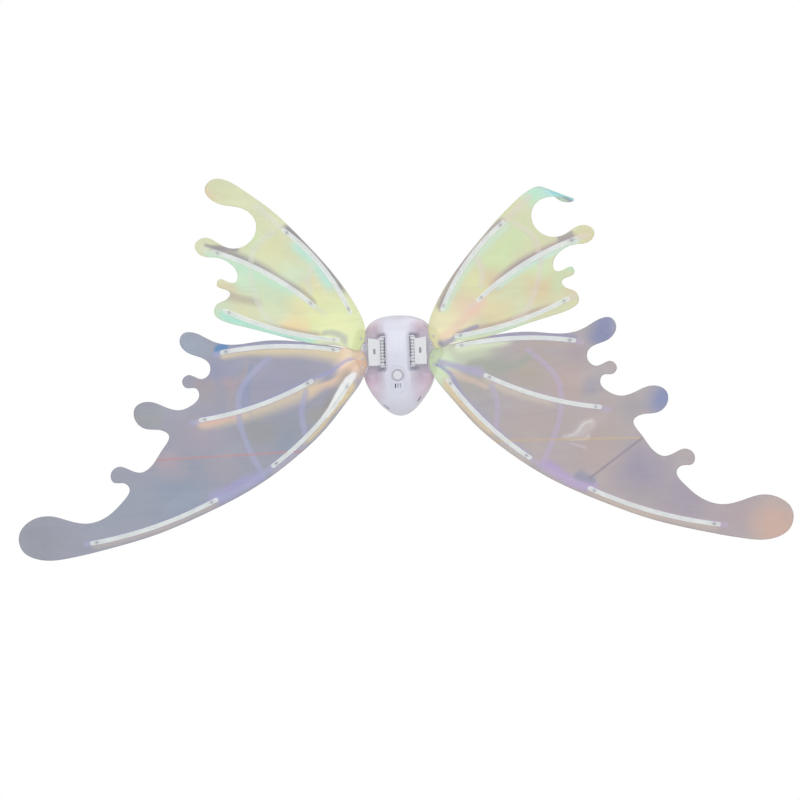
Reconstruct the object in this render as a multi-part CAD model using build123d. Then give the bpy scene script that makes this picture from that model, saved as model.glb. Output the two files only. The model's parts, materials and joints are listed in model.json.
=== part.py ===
from build123d import *
import math
import os

# Battery-driven fairy wings: an egg-shaped drive pod, two swing arms and four film wings with lighted ribs.
# Frame: +Z up, -Y the face seen from behind the wearer, +Y towards the wearer's back, +X the right wing.
# Origin: centre of the pod's flat back face. Depth below always means distance in front of that face (-Y).

# ---- pod shells
SEAM_DEPTH = 14.0
POD_DEPTH = 48.0
WALL = 2.0
POD_HALF_OUTLINE = [(12, 60.2), (24, 57.5), (33, 52.5), (38.8, 45.5), (42, 30), (43.5, 5), (42, -16),
                    (35, -31.5), (24.8, -45.4), (12, -57.2)]
POD_TOP = 60.8
POD_BOTTOM = -61.1
DOME_STEPS = [0.0, 0.3, 0.55, 0.75, 0.89, 0.97]
DOME_POWER_IN = 2.6
DOME_POWER_OUT = 0.46

# ---- side decks, where the arms sit
BAND_HALF = 15.2
DECK_DEPTH = 22.0
DECK_LOW = -13.0
DECK_HIGH = 38.0
DECK_RAMP_LOW = (-34.0, 46.0)
DECK_RAMP_HIGH = (62.0, 36.0)

# ---- swing arms and their pins
PIVOT_X = 18.5
WING_DEPTH = 33.0
BARREL_R = 2.9
BARREL_RIBS = 9
RIB_PITCH = 3.7
BARREL_CORE_R = 1.7
COMB_HALF = 2.4
GROOVE_HALF = 0.85
PIN_R = 1.0
PIN_BELOW = 1.5
RUN_GAP = 0.05
ARM_LOW = 0.2
ARM_HIGH = 34.0
EAR_GAP = 0.3
EAR_HEIGHT = 1.8
EAR_HALF = 2.8
SOCKET_IN = 22.0
SOCKET_OUT = 35.4
SOCKET_THICK = 9.0
TONGUE_THICK = 2.4
TONGUE_LOW = 5.5
TONGUE_HIGH = 28.5
TONGUE_REACH = 10.4
WINDOW_X = 27.8
WINDOW_Z = 17.5
WINDOW_SIZE = (2.6, 6.4)
LATCH_HALF = 2.8
LATCH_DEPTH = 3.6
LEVER = 12.0
LEVER_END_R = 1.5
LEVER_HALF = 0.8
FORK_GAP = 0.12
LEVER_Z = (5.0, 9.0)

CONTACT_Z = (12.0, 22.0)
CONTACT_SPAN = (8.0, 2.0)
BLADE_THICK = 0.5
BLADE_HALF = 1.2
PAD_X = (SOCKET_OUT - 8.5, SOCKET_OUT - 1.5)
PAD_THICK = 0.3
PAD_HALF = 1.6
SOCKET_LAP = 1.4
SOCKET_ROUND = 1.2
SLIP = 0.1

# ---- gear train, all axes upright
MODULE = 0.4
PRESSURE = math.radians(20)
BACKLASH = 0.06
CENTRE_EXTRA = 0.08
OUTPUT_TEETH = 42
WHEEL_TEETH = 40
PINION_TEETH = 10
CRANK_R = 3.1
CRANK_PIN_R = 1.4
GEAR_AXLE_R = 0.75
OUTPUT_SHAFT_R = 1.5
MOTOR_SHAFT_R = 0.6
MOTOR_R = 7.7
MOTOR_FLAT_HALF = 6.0
MOTOR_BOSS_R = 2.5
MOTOR_BOSS = 1.2
MOTOR_TAG = (1.8, 0.4, 2.6)
MOTOR_TAG_X = 4.6
MOTOR_MOUTH_R = 2.2
SHAFT_LAP = 0.9
PINION_OVER = 1.2
PLATE_NECK = 20.5
PLATE_LAP = 0.3
PLATE_SCREW_R = 0.68
PLATE_SCREW = 5.0
PLATE_SCREW_HEAD_R = 1.5
GUIDE_BACK = 22.5
GUIDE_RAIL = (2.0, 2.2)
GUIDE_KEY_HALF = 0.9
GUIDE_KEY_DEPTHS = (24.0, 41.0)
HUB_HOLES_AT = 4.8
HUB_HOLE_R = 1.5
OUTPUT_TO_WHEEL = MODULE * (OUTPUT_TEETH + PINION_TEETH) / 2 + CENTRE_EXTRA
WHEEL_TO_PINION = MODULE * (WHEEL_TEETH + PINION_TEETH) / 2 + CENTRE_EXTRA
OUTPUT_AXIS = (0.0, WING_DEPTH)
SECOND_AXIS = (0.0, WING_DEPTH - OUTPUT_TO_WHEEL)
FIRST_LEAN = math.radians(120)
FIRST_AXIS = (SECOND_AXIS[0] + WHEEL_TO_PINION * math.cos(FIRST_LEAN),
              SECOND_AXIS[1] - WHEEL_TO_PINION * math.sin(FIRST_LEAN))
MOTOR_LEAN = math.radians(8)
MOTOR_AXIS = (FIRST_AXIS[0] + WHEEL_TO_PINION * math.cos(MOTOR_LEAN),
              FIRST_AXIS[1] + WHEEL_TO_PINION * math.sin(MOTOR_LEAN))
YOKE_Z = (4.0, 11.0)
YOKE_HALF = (9.0, 4.0)
GUIDE_Z = (1.8, 3.6)
CRANK_Z = (13.0, 15.0)
LOWER_PLATE_Z = (16.0, 17.5)
OUTPUT_GEAR_Z = (18.5, 21.0)
SECOND_WHEEL_Z = (22.0, 24.5)
FIRST_WHEEL_Z = (25.5, 28.0)
UPPER_PLATE_Z = (30.0, 31.5)
MOTOR_Z = (31.5, 51.5)
PLATE_HALF = 13.2
PLATE_DEPTHS = (5.0, 41.5)
POST_R = 1.3
POSTS = [(-11.4, 38.5), (11.4, 38.5), (-11.7, 6.5), (11.7, 6.5)]

# ---- batteries
CELL_R = 7.1
CELL_BOTTOM = -36.0
CELL_BODY = 49.2
CELL_NUB = 1.2
CELL_DEPTH = 10.0
CELL_PITCH = 15.0
TRAY_HALF = 24.0
TRAY_Z = (-41.0, 17.0)
TRAY_DEPTHS = (2.6, 19.0)
DOOR_HALF = 22.6
DOOR_Z = (-39.0, 21.0)
DOOR_SCREW_Z = 18.4
DOOR_SCREW_R = 1.2
DOOR_SCREW_HEAD_R = 2.4
DOOR_SCREW_HEAD = 1.2
DOOR_SCREW_END = 4.6
DOOR_ROUND = 3.0
DOOR_GAP = 0.25
GRIP_LINES = 5
GRIP_START = 5.0
GRIP_PITCH = 2.4
GRIP_WIDE = 1.0
GRIP_HALF = 9.0
GRIP_DEPTH = 0.6
TRAY_WALL = 1.2
SPRING_COIL_R = 3.2
SPRING_WIRE_R = 0.15
PLATE_SPAN = (1.5, 21.0)
PLATE_REACH = (4.0, 16.0)

# ---- front controls
BUTTON_Z = -12.0
BUTTON_R = 5.7
BEZEL_R = 7.6
BUTTON_TRAVEL = 0.8
RECESS_Z = -18.0
RECESS_TALL = 36.0
RECESS_WIDE = 19.0
RECESS_DEPTH = 45.6
SOUND_SLOTS = (-3.0, 0.0, 3.0)
SOUND_SLOT_Z = -24.8
SOUND_SLOT = (5.6, 1.2)
SOUND_SLOT_BACK = 38.0
RECESS_PAD = 3.0
RECESS_PAD_RISE = 0.6
BEZEL_SEAT = 1.4
PUSH_FIT = 0.02
LEVER_SLOT_HALF = 3.6
LEVER_SLOT_GAP = 0.5
BOARD_Z = (-19.0, -0.5)
BOARD_DEPTHS = (22.0, 23.6)
SPEAKER_Z = -29.5
SPEAKER_R = 9.0

# ---- back face fixings
STRAP_POCKETS = [(-20, 44, 18, 12), (20, 44, 18, 12), (-32.5, -9, 12, 18), (32.5, -9, 12, 18)]
STRAP_POCKET_DEPTH = 6.0
STRAP_BAR = 3.0
POCKET_WALL = 1.2
POCKET_ROUND = 2.0
STRAP_BAR_DEPTHS = (0.4, 3.0)
BACK_EDGE_ROUND = 1.6
SHELL_SCREWS = [(-31.5, 29.5), (31.5, 29.5), (-29.8, -26.5), (29.8, -26.5), (-7, 54.2), (0, -53.2)]
SCREW_R = 1.25
SCREW_GAP = 0.1
SCREW_HEAD_R = 2.3
SCREW_HEAD_DEPTHS = (0.6, 2.6)
SCREW_END = 18.5
SCREW_BORE_END = 19.0
FRONT_BOSS_R = 2.8
BACK_BOSS_R = 3.4
DRIVE_SLOT = (2.6, 0.6)
DRIVE_SLOT_END = 1.4

# ---- wings
FILM = 0.4
FILM_DEPTHS = {"lower": WING_DEPTH, "upper": WING_DEPTH + 0.6}
BRACKET_DEPTHS = (31.0, 33.0)
UPPER_OUTLINE = [(45, 20.5), (39.5, 31), (38, 42), (45, 66), (70, 107), (110, 155), (150, 195), (180, 218),
                 (205, 232), (222, 231), (229, 220), (220, 207), (201, 200.5), (180, 195), (168, 181),
                 (170, 163), (185, 150), (205, 150.5), (232, 162), (242, 154), (236, 141.5), (217, 138),
                 (200, 130), (191.5, 116), (193.5, 108), (204, 108.5), (214, 111.5), (217, 105),
                 (209, 99.5), (201, 94), (204.5, 88), (217.5, 81.5), (221, 70), (211, 61), (190, 54),
                 (145, 41), (118, 33), (90, 27.5), (60, 22.5)]
LOWER_OUTLINE = [(45, 20), (60, 22.8), (90, 28), (120, 33), (165, 35), (205, 32), (226, 37.5), (245, 48),
                 (259, 48.5), (265, 36.5), (257, 24), (241, 17.8), (229.5, 9), (230.5, -3), (240, -8.5),
                 (257, -3.3), (264, -10.5), (259.5, -18.7), (247, -20), (243.5, -28.5), (252, -39.5),
                 (268, -45.5),
                 (288, -40), (309, -34), (322, -40.5), (323, -56), (311, -67), (289, -70), (282.3, -75),
                 (290, -92), (304, -112), (316, -119.6), (331.5, -115.5), (343.5, -111.8), (354, -120.5),
                 (351, -130.7), (337.5, -132.4), (332, -137.5), (341, -155), (360, -171.5),
                 (383, -179.7), (405, -176.8), (430, -169.6), (453, -174), (469, -191),
                 (465.5, -211), (446, -222.3), (412, -222), (360, -211.5), (300, -195.5),
                 (240, -172), (180, -143), (130, -109), (90, -73.5), (60, -37.8), (41, -10.5),
                 (37.4, 4), (39.5, 14)]
RIB_ARCS = {"upper_edge": ("upper", (56, 66), (88, 122), (133, 168)),
            "upper_middle": ("upper", (100, 75.5), (155, 116), (219.5, 145)),
            "upper_base": ("upper", (72, 33), (140, 46.5), (207.5, 73)),
            "lower_top": ("lower", (73, 20.7), (142, 28), (213.5, 22.8)),
            "lower_middle": ("lower", (105.8, -15.8), (168, -42), (242, -58.4)),
            "lower_inner": ("lower", (60, -20), (102, -71), (155.5, -116.5)),
            "lower_tail": ("lower", (227, -156), (300, -185.5), (380, -204))}
RIB_WIDTH = 5.2
RIB_HEIGHT = 1.8
CHANNEL_WIDTH = 3.2
CHANNEL_HEIGHT = 1.1
STRIP_WIDTH = 2.6
STRIP_HEIGHT = 0.4
CHIP = (2.0, 1.4, 0.6)
CHIP_STATIONS = (0.09, 0.5, 0.91)
EYELET_R = 2.3
EYELET_HOLE_R = 0.8
EYELET_SHANK_R = 1.25
EYELET_INSET = 0.035
BRACKET_CORNERS = [(36, -1), (39, -9), (46.5, -12), (49, 2), (56, 12), (54, 29), (48, 44), (41, 46),
                   (37, 35.5)]
ROOT_SCREW_R = 0.78
ROOT_HOLE_R = 0.8
ROOT_HEAD_R = 1.7
ROOT_HEAD = 0.9
BRACKET_SCREWS = [(44, 34), (41.5, 26), (42, 9), (43.5, -1)]


# ---------------------------------------------------------------- helpers
def save(shape, node):
    shape.label = node
    export_step(shape, "parts/" + node + ".step")


def slab(sketch, near, far):
    """A sketch in X and Z, made solid from one depth to another."""
    return extrude(Plane.XZ.offset(near) * sketch, far - near)


def block(x, depth, z):
    """A box between two values on each axis."""
    size = (abs(x[1] - x[0]), abs(depth[1] - depth[0]), abs(z[1] - z[0]))
    middle = ((x[0] + x[1]) / 2, -(depth[0] + depth[1]) / 2, (z[0] + z[1]) / 2)
    return Pos(*middle) * Box(*size)


def upright(axis, radius, z):
    """A cylinder along Z at (x, depth)."""
    return Pos(axis[0], -axis[1], (z[0] + z[1]) / 2) * Cylinder(radius, z[1] - z[0])


def bolt(x, z, radius, depths):
    """A cylinder along the depth direction at (x, z)."""
    return slab(Pos(x, z) * Circle(radius), depths[0], depths[1])


def on_side(shape, side):
    return shape if side > 0 else mirror(shape, Plane.YZ)


def outline_wire(points):
    return make_face(Spline(*points, periodic=True))


# ---------------------------------------------------------------- pod shells
def pod_outline(inset):
    """Egg-shaped outline of the pod, moved in by a wall thickness."""
    half = []
    for x, z in POD_HALF_OUTLINE:
        reach = math.hypot(x, z)
        half.append((x * (1 - inset / reach), z * (1 - inset / reach)))
    left = [(-x, z) for x, z in reversed(half)]
    return outline_wire([(0, POD_TOP - inset)] + half + [(0, POD_BOTTOM + inset)] + left)


def dome(inset):
    """Front bulge of the pod as a loft through shrinking outlines."""
    height = POD_DEPTH - SEAM_DEPTH - inset
    sections = []
    for step in DOME_STEPS:
        size = (1 - step ** DOME_POWER_IN) ** DOME_POWER_OUT
        plane = Plane.XZ.offset(SEAM_DEPTH + height * step)
        sections.append(plane * scale(pod_outline(inset), size))
    return loft(sections)


def deck_cut(grow):
    """Space in front of both side decks, where the arms and the wing roots swing."""
    low = (DECK_RAMP_LOW[0] - grow, DECK_RAMP_LOW[1])
    high = (DECK_RAMP_HIGH[0] + grow, DECK_RAMP_HIGH[1])
    floor = DECK_DEPTH - grow
    profile = make_face(Polyline((low[1], low[0]), (floor, DECK_LOW - grow), (floor, DECK_HIGH + grow),
                                 (high[1], high[0]), (70, high[0]), (70, low[0]), close=True))
    facing = Plane(origin=(0, 0, 0), x_dir=(0, -1, 0), z_dir=(1, 0, 0))
    solids = []
    for side in (1, -1):
        cut = extrude(facing * (mirror(profile, Plane.XZ) if facing.y_dir.Z < 0 else profile), 40)
        solids.append(on_side(Pos(BAND_HALF - grow, 0, 0) * cut, side))
    return solids


def front_shell():
    outer = dome(0)
    hollow = dome(WALL)
    for cut in deck_cut(0):
        outer = outer - cut
    for cut in deck_cut(WALL):
        hollow = hollow - cut
    shell = outer
    for side in (1, -1):
        for low in (ARM_LOW - EAR_GAP - EAR_HEIGHT, ARM_HIGH + EAR_GAP):
            ear = block((BAND_HALF - 1, PIVOT_X), (WING_DEPTH - EAR_HALF, WING_DEPTH + EAR_HALF),
                        (low, low + EAR_HEIGHT))
            ear = ear + upright((PIVOT_X, WING_DEPTH), EAR_HALF, (low, low + EAR_HEIGHT))
            shell = shell + on_side(ear, side)
    shell = shell - hollow
    slot = SlotOverall(RECESS_TALL + RECESS_PAD, RECESS_WIDE + RECESS_PAD, rotation=90)
    pad = slab(Pos(0, RECESS_Z) * slot,
               RECESS_DEPTH - WALL, RECESS_DEPTH + RECESS_PAD_RISE)
    shell = shell + (pad & outer)
    for x, z in SHELL_SCREWS:
        shell = shell + (bolt(x, z, FRONT_BOSS_R, (SEAM_DEPTH, POD_DEPTH - 2 * WALL)) & outer)
        shell = shell - bolt(x, z, SCREW_R + PUSH_FIT, (SEAM_DEPTH, SCREW_BORE_END))
    shell = shell - slab(Pos(0, RECESS_Z) * SlotOverall(RECESS_TALL, RECESS_WIDE, rotation=90),
                         RECESS_DEPTH, POD_DEPTH + 1)
    shell = shell - bolt(0, BUTTON_Z, BEZEL_R - BEZEL_SEAT, (RECESS_DEPTH - 2 * WALL, POD_DEPTH))
    shell = shell - bolt(0, BUTTON_Z, BEZEL_R, (RECESS_DEPTH - 1, POD_DEPTH))
    for x in SOUND_SLOTS:
        slot = Pos(x, SOUND_SLOT_Z) * SlotOverall(*SOUND_SLOT, rotation=90)
        shell = shell - slab(slot, SOUND_SLOT_BACK, POD_DEPTH)
    for side in (1, -1):
        hole_z = (ARM_LOW - PIN_BELOW, ARM_HIGH + 2 * PIN_BELOW)
        pin_hole = upright((PIVOT_X, WING_DEPTH), PIN_R + PUSH_FIT, hole_z)
        lever_slot = block((BAND_HALF - 1.5 * WALL, BAND_HALF + 1),
                           (WING_DEPTH - LEVER_SLOT_HALF, WING_DEPTH + LEVER_SLOT_HALF),
                           (LEVER_Z[0] - LEVER_SLOT_GAP, LEVER_Z[1] + LEVER_SLOT_GAP))
        shell = shell - on_side(pin_hole, side) - on_side(lever_slot, side)
    return shell


def back_shell():
    shell = slab(pod_outline(0), 0, SEAM_DEPTH)
    shell = fillet(shell.faces().sort_by(Axis.Y)[-1].edges(), BACK_EDGE_ROUND)
    shell = shell - slab(pod_outline(WALL), WALL, SEAM_DEPTH)
    inside = slab(pod_outline(WALL / 2), WALL / 4, SEAM_DEPTH)
    for x, z in SHELL_SCREWS:
        shell = shell + (bolt(x, z, BACK_BOSS_R, (WALL / 2, SEAM_DEPTH)) & inside)
    for x, z, wide, tall in STRAP_POCKETS:
        frame = Rectangle(wide + 2 * POCKET_WALL, tall + 2 * POCKET_WALL)
        walls = slab(Pos(x, z) * frame, WALL / 2, STRAP_POCKET_DEPTH + POCKET_WALL)
        shell = shell + (walls & inside)
        shell = shell - slab(Pos(x, z) * RectangleRounded(wide, tall, POCKET_ROUND), -1, STRAP_POCKET_DEPTH)
        bar = (wide + 1, STRAP_BAR) if wide > tall else (STRAP_BAR, tall + 1)
        shell = shell + slab(Pos(x, z) * Rectangle(*bar), *STRAP_BAR_DEPTHS)
    door_middle = (DOOR_Z[0] + DOOR_Z[1]) / 2
    door_tall = DOOR_Z[1] - DOOR_Z[0]
    doorway = RectangleRounded(2 * DOOR_HALF, door_tall, DOOR_ROUND)
    shell = shell - slab(Pos(0, door_middle) * doorway, -1, 2 * WALL)
    for x, z in SHELL_SCREWS:
        shell = shell - bolt(x, z, SCREW_R + SCREW_GAP, (-1, SEAM_DEPTH + 1))
        shell = shell - bolt(x, z, SCREW_HEAD_R + 2 * SCREW_GAP, (-1, SCREW_HEAD_DEPTHS[1]))
    return shell


def shell_screws():
    screws = []
    for x, z in SHELL_SCREWS:
        head = bolt(x, z, SCREW_HEAD_R, SCREW_HEAD_DEPTHS)
        for turn in (0, 90):
            head = head - slab(Pos(x, z) * Rectangle(*DRIVE_SLOT, rotation=turn), 0, DRIVE_SLOT_END)
        screws.append(head + bolt(x, z, SCREW_R, (SCREW_HEAD_DEPTHS[1], SCREW_END)))
    return Compound(screws)


# ---------------------------------------------------------------- batteries and back door
def battery_door():
    middle = (DOOR_Z[0] + DOOR_Z[1]) / 2
    tall = DOOR_Z[1] - DOOR_Z[0]
    panel = RectangleRounded(2 * DOOR_HALF - 2 * DOOR_GAP, tall - 2 * DOOR_GAP, DOOR_ROUND - DOOR_GAP)
    door = slab(Pos(0, middle) * panel, 0, WALL)
    for step in range(GRIP_LINES):
        low = DOOR_Z[0] + GRIP_START + GRIP_PITCH * step
        door = door - block((-GRIP_HALF, GRIP_HALF), (-1, GRIP_DEPTH), (low, low + GRIP_WIDE))
    door = door - bolt(0, DOOR_SCREW_Z, DOOR_SCREW_R + 0.3, (-1, WALL + 1))
    return door - bolt(0, DOOR_SCREW_Z, DOOR_SCREW_HEAD_R + 0.2, (-1, DOOR_SCREW_HEAD))


def battery_door_screw():
    z = DOOR_SCREW_Z
    head = bolt(0, z, DOOR_SCREW_HEAD_R, (0, DOOR_SCREW_HEAD))
    for turn in (0, 90):
        head = head - slab(Pos(0, z) * Rectangle(3, DRIVE_SLOT[1], rotation=turn), -1, DOOR_SCREW_HEAD / 2)
    return head + bolt(0, z, DOOR_SCREW_R, (DOOR_SCREW_HEAD, DOOR_SCREW_END))


def battery_tray():
    """Open box with a partition between the cells, closed towards the front."""
    tray = block((-TRAY_HALF, TRAY_HALF), TRAY_DEPTHS, TRAY_Z)
    inner = block((-TRAY_HALF + TRAY_WALL, TRAY_HALF - TRAY_WALL), (-1, TRAY_DEPTHS[1] - 1.4),
                  (TRAY_Z[0] + TRAY_WALL, TRAY_Z[1] - TRAY_WALL))
    tray = tray - inner
    for x in (-CELL_PITCH / 2, CELL_PITCH / 2):
        tray = tray + block((x - 0.3, x + 0.3), (13.5, TRAY_DEPTHS[1] - 1), (TRAY_Z[0] + 6, TRAY_Z[1] - 6))
    tray = tray + block((-3.4, 3.4), (TRAY_DEPTHS[0], 4.8), (TRAY_Z[1] - 0.5, TRAY_Z[1] + 4.6))
    return tray - bolt(0, DOOR_SCREW_Z, 1.25, (2, 6))


def battery_cell(x, up):
    low = CELL_BOTTOM
    body = upright((x, CELL_DEPTH), CELL_R, (low, low + CELL_BODY))
    body = fillet(body.edges(), 0.6)
    nub = upright((x, CELL_DEPTH), 2.7, (low + CELL_BODY, low + CELL_BODY + CELL_NUB))
    cell = body + nub
    if up:
        return cell
    middle = low + (CELL_BODY + CELL_NUB) / 2
    return Pos(0, 0, middle) * mirror(Pos(0, 0, -middle) * cell, Plane.XY)


def contact_plates():
    plates = []
    far = TRAY_WALL + 0.4
    for z in ((TRAY_Z[0] + TRAY_WALL, TRAY_Z[0] + far), (TRAY_Z[1] - far, TRAY_Z[1] - TRAY_WALL)):
        for side in (1, -1):
            plates.append(on_side(block(PLATE_SPAN, PLATE_REACH, z), side))
    return plates


def contact_springs(cells):
    """One coil of spring wire against the flat end of each cell."""
    springs = []
    for x, up in cells:
        if up:
            low = TRAY_Z[0] + 1.75
            height = CELL_BOTTOM - low - 0.15
        else:
            low = CELL_BOTTOM + CELL_BODY + CELL_NUB + 0.15
            height = TRAY_Z[1] - 1.75 - low
        path = Helix(pitch=height / 2.0 if height > 2 else height, height=height, radius=SPRING_COIL_R)
        section = Plane(origin=path @ 0, z_dir=path % 0) * Circle(SPRING_WIRE_R)
        wire = sweep(section, path=path, is_frenet=True)
        springs.append(Pos(x, -CELL_DEPTH, low) * wire)
    return springs


# ---------------------------------------------------------------- gear train
def involute(radius, base):
    angle = math.acos(min(1.0, base / radius))
    return math.tan(angle) - angle


def gear_face(teeth, turn):
    """Involute gear outline with the middle of one tooth at the angle turn."""
    pitch = teeth * MODULE / 2
    base = pitch * math.cos(PRESSURE)
    tip = pitch + 0.9 * MODULE
    root = pitch - 1.25 * MODULE
    half = math.pi / (2 * teeth) - BACKLASH / (2 * pitch) + involute(pitch, base)
    start = max(base, root)
    flank = [start + (tip - start) * step / 3 for step in range(4)]
    side = [(radius, half - involute(radius, base)) for radius in flank]
    if root < base:
        side.insert(0, (root, half))
    points = []
    for tooth in range(teeth):
        middle = turn + 2 * math.pi * tooth / teeth
        for radius, angle in side:
            points.append((radius * math.cos(middle - angle), radius * math.sin(middle - angle)))
        for radius, angle in reversed(side):
            points.append((radius * math.cos(middle + angle), radius * math.sin(middle + angle)))
    return make_face(Polyline(*points, close=True))


def gear(axis, teeth, turn, z):
    return extrude(Plane.XY.offset(z[0]) * Pos(axis[0], -axis[1]) * gear_face(teeth, turn), z[1] - z[0])


def mesh_turn(driver_axis, driver_teeth, driver_turn, axis, teeth):
    """Turn that puts a gap of the second gear on a tooth of the first, on their centre line."""
    line = math.atan2(-(axis[1] - driver_axis[1]), axis[0] - driver_axis[0])
    offset = (line - driver_turn) * driver_teeth / teeth
    return line + math.pi + math.pi / teeth + offset


OUTPUT_TURN = 0.0
SECOND_PINION_TURN = mesh_turn(OUTPUT_AXIS, OUTPUT_TEETH, OUTPUT_TURN, SECOND_AXIS, PINION_TEETH)
SECOND_WHEEL_TURN = 0.0
FIRST_PINION_TURN = mesh_turn(SECOND_AXIS, WHEEL_TEETH, SECOND_WHEEL_TURN, FIRST_AXIS, PINION_TEETH)
FIRST_WHEEL_TURN = 0.0
MOTOR_PINION_TURN = mesh_turn(FIRST_AXIS, WHEEL_TEETH, FIRST_WHEEL_TURN, MOTOR_AXIS, PINION_TEETH)


def output_gear():
    """Output gear, its shaft and the crank disc under the lower plate."""
    part = gear(OUTPUT_AXIS, OUTPUT_TEETH, OUTPUT_TURN, OUTPUT_GEAR_Z)
    for step in range(4):
        angle = math.radians(45 + 90 * step)
        hole = (OUTPUT_AXIS[0] + HUB_HOLES_AT * math.cos(angle),
                OUTPUT_AXIS[1] + HUB_HOLES_AT * math.sin(angle))
        part = part - upright(hole, HUB_HOLE_R, (OUTPUT_GEAR_Z[0] - 1, OUTPUT_GEAR_Z[1] + 1))
    part = part + upright(OUTPUT_AXIS, OUTPUT_SHAFT_R, (CRANK_Z[1], UPPER_PLATE_Z[1]))
    part = part + upright(OUTPUT_AXIS, CRANK_R + CRANK_PIN_R + 0.6, CRANK_Z)
    pin_axis = (OUTPUT_AXIS[0] + CRANK_R, OUTPUT_AXIS[1])
    return part + upright(pin_axis, CRANK_PIN_R, (YOKE_Z[1] + 0.4, CRANK_Z[0]))


def compound_gear(axis, pinion_turn, pinion_z, wheel_turn, wheel_z):
    part = gear(axis, WHEEL_TEETH, wheel_turn, wheel_z) + gear(axis, PINION_TEETH, pinion_turn, pinion_z)
    return part - upright(axis, GEAR_AXLE_R + RUN_GAP, (pinion_z[0] - 1, wheel_z[1] + 1))


def motor_pinion():
    pinion_z = (FIRST_WHEEL_Z[0], FIRST_WHEEL_Z[1] + PINION_OVER)
    part = gear(MOTOR_AXIS, PINION_TEETH, MOTOR_PINION_TURN, pinion_z)
    shaft_z = (FIRST_WHEEL_Z[1] + PINION_OVER, MOTOR_Z[0] + SHAFT_LAP)
    return part + upright(MOTOR_AXIS, MOTOR_SHAFT_R, shaft_z)


def motor():
    x, depth = MOTOR_AXIS
    flats = block((x - MOTOR_R, x + MOTOR_R), (depth - MOTOR_FLAT_HALF, depth + MOTOR_FLAT_HALF), MOTOR_Z)
    can = upright(MOTOR_AXIS, MOTOR_R, MOTOR_Z) & flats
    can = can + upright(MOTOR_AXIS, MOTOR_BOSS_R, (MOTOR_Z[1], MOTOR_Z[1] + MOTOR_BOSS))
    tag_wide, tag_thick, tag_tall = MOTOR_TAG
    for middle in (x - MOTOR_TAG_X, x + MOTOR_TAG_X):
        can = can + block((middle - tag_wide / 2, middle + tag_wide / 2),
                          (depth - tag_thick / 2, depth + tag_thick / 2), (MOTOR_Z[1], MOTOR_Z[1] + tag_tall))
    return can - upright(MOTOR_AXIS, MOTOR_SHAFT_R + RUN_GAP, (MOTOR_Z[0] - 1, MOTOR_Z[0] + 1))


def gearbox_lower_plate():
    """Bearing plate over the crank, with four posts up to the upper plate."""
    plate = block((-PLATE_HALF, PLATE_HALF), (PLATE_NECK, PLATE_DEPTHS[1]), LOWER_PLATE_Z)
    plate = plate + block((-PLATE_HALF, PLATE_HALF), (PLATE_DEPTHS[0], PLATE_NECK),
                          (LOWER_PLATE_Z[1] - PLATE_LAP, LOWER_PLATE_Z[1] + 3 * PLATE_LAP))
    for post in POSTS:
        plate = plate + upright(post, POST_R, (LOWER_PLATE_Z[1] - PLATE_LAP, UPPER_PLATE_Z[0]))
        screw_z = (UPPER_PLATE_Z[0] - PLATE_SCREW - 1, UPPER_PLATE_Z[0] + 1)
        plate = plate - upright(post, PLATE_SCREW_R + PUSH_FIT, screw_z)
    plate = plate - upright(OUTPUT_AXIS, OUTPUT_SHAFT_R + RUN_GAP,
                            (LOWER_PLATE_Z[0] - 1, LOWER_PLATE_Z[1] + 1))
    for axis in (SECOND_AXIS, FIRST_AXIS):
        plate = plate - upright(axis, GEAR_AXLE_R, (LOWER_PLATE_Z[0] - 1, LOWER_PLATE_Z[1] + 1))
    return plate


def gearbox_upper_plate():
    plate = block((-PLATE_HALF, PLATE_HALF), PLATE_DEPTHS, UPPER_PLATE_Z)
    plate = plate - upright(OUTPUT_AXIS, OUTPUT_SHAFT_R + RUN_GAP,
                            (UPPER_PLATE_Z[0] - 1, UPPER_PLATE_Z[1] + 1))
    plate = plate - upright(MOTOR_AXIS, MOTOR_MOUTH_R, (UPPER_PLATE_Z[0] - 1, UPPER_PLATE_Z[1] + 1))
    for axis in (SECOND_AXIS, FIRST_AXIS):
        plate = plate - upright(axis, GEAR_AXLE_R, (UPPER_PLATE_Z[0] - 1, UPPER_PLATE_Z[1] + 1))
    for post in POSTS:
        plate = plate - upright(post, PLATE_SCREW_R + 0.2, (UPPER_PLATE_Z[0] - 1, UPPER_PLATE_Z[1] + 1))
    return plate


def gearbox_screws():
    screws = []
    for post in POSTS:
        shank = upright(post, PLATE_SCREW_R, (UPPER_PLATE_Z[0] - PLATE_SCREW, UPPER_PLATE_Z[1]))
        screws.append(shank + upright(post, PLATE_SCREW_HEAD_R, (UPPER_PLATE_Z[1], UPPER_PLATE_Z[1] + 1)))
    return Compound(screws)


def gear_axles():
    second = upright(SECOND_AXIS, GEAR_AXLE_R, (LOWER_PLATE_Z[0], UPPER_PLATE_Z[1]))
    first = upright(FIRST_AXIS, GEAR_AXLE_R, (LOWER_PLATE_Z[1] - PLATE_LAP, UPPER_PLATE_Z[1]))
    return Compound([second, first])


def yoke_guide():
    """Bottom plate with two rails that keep the yoke straight."""
    guide = block((-PLATE_HALF, PLATE_HALF), (GUIDE_BACK, PLATE_DEPTHS[1]), GUIDE_Z)
    wide, deep = GUIDE_RAIL
    rail = block((PLATE_HALF - wide, PLATE_HALF), (PLATE_DEPTHS[1] - deep, PLATE_DEPTHS[1]),
                 (GUIDE_Z[0], LOWER_PLATE_Z[0]))
    for side in (1, -1):
        guide = guide + on_side(rail, side)
    key = block((-GUIDE_KEY_HALF, GUIDE_KEY_HALF), GUIDE_KEY_DEPTHS,
                (GUIDE_Z[1] - 0.2, YOKE_Z[0] + GUIDE_KEY_HALF))
    return guide + key


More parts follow.
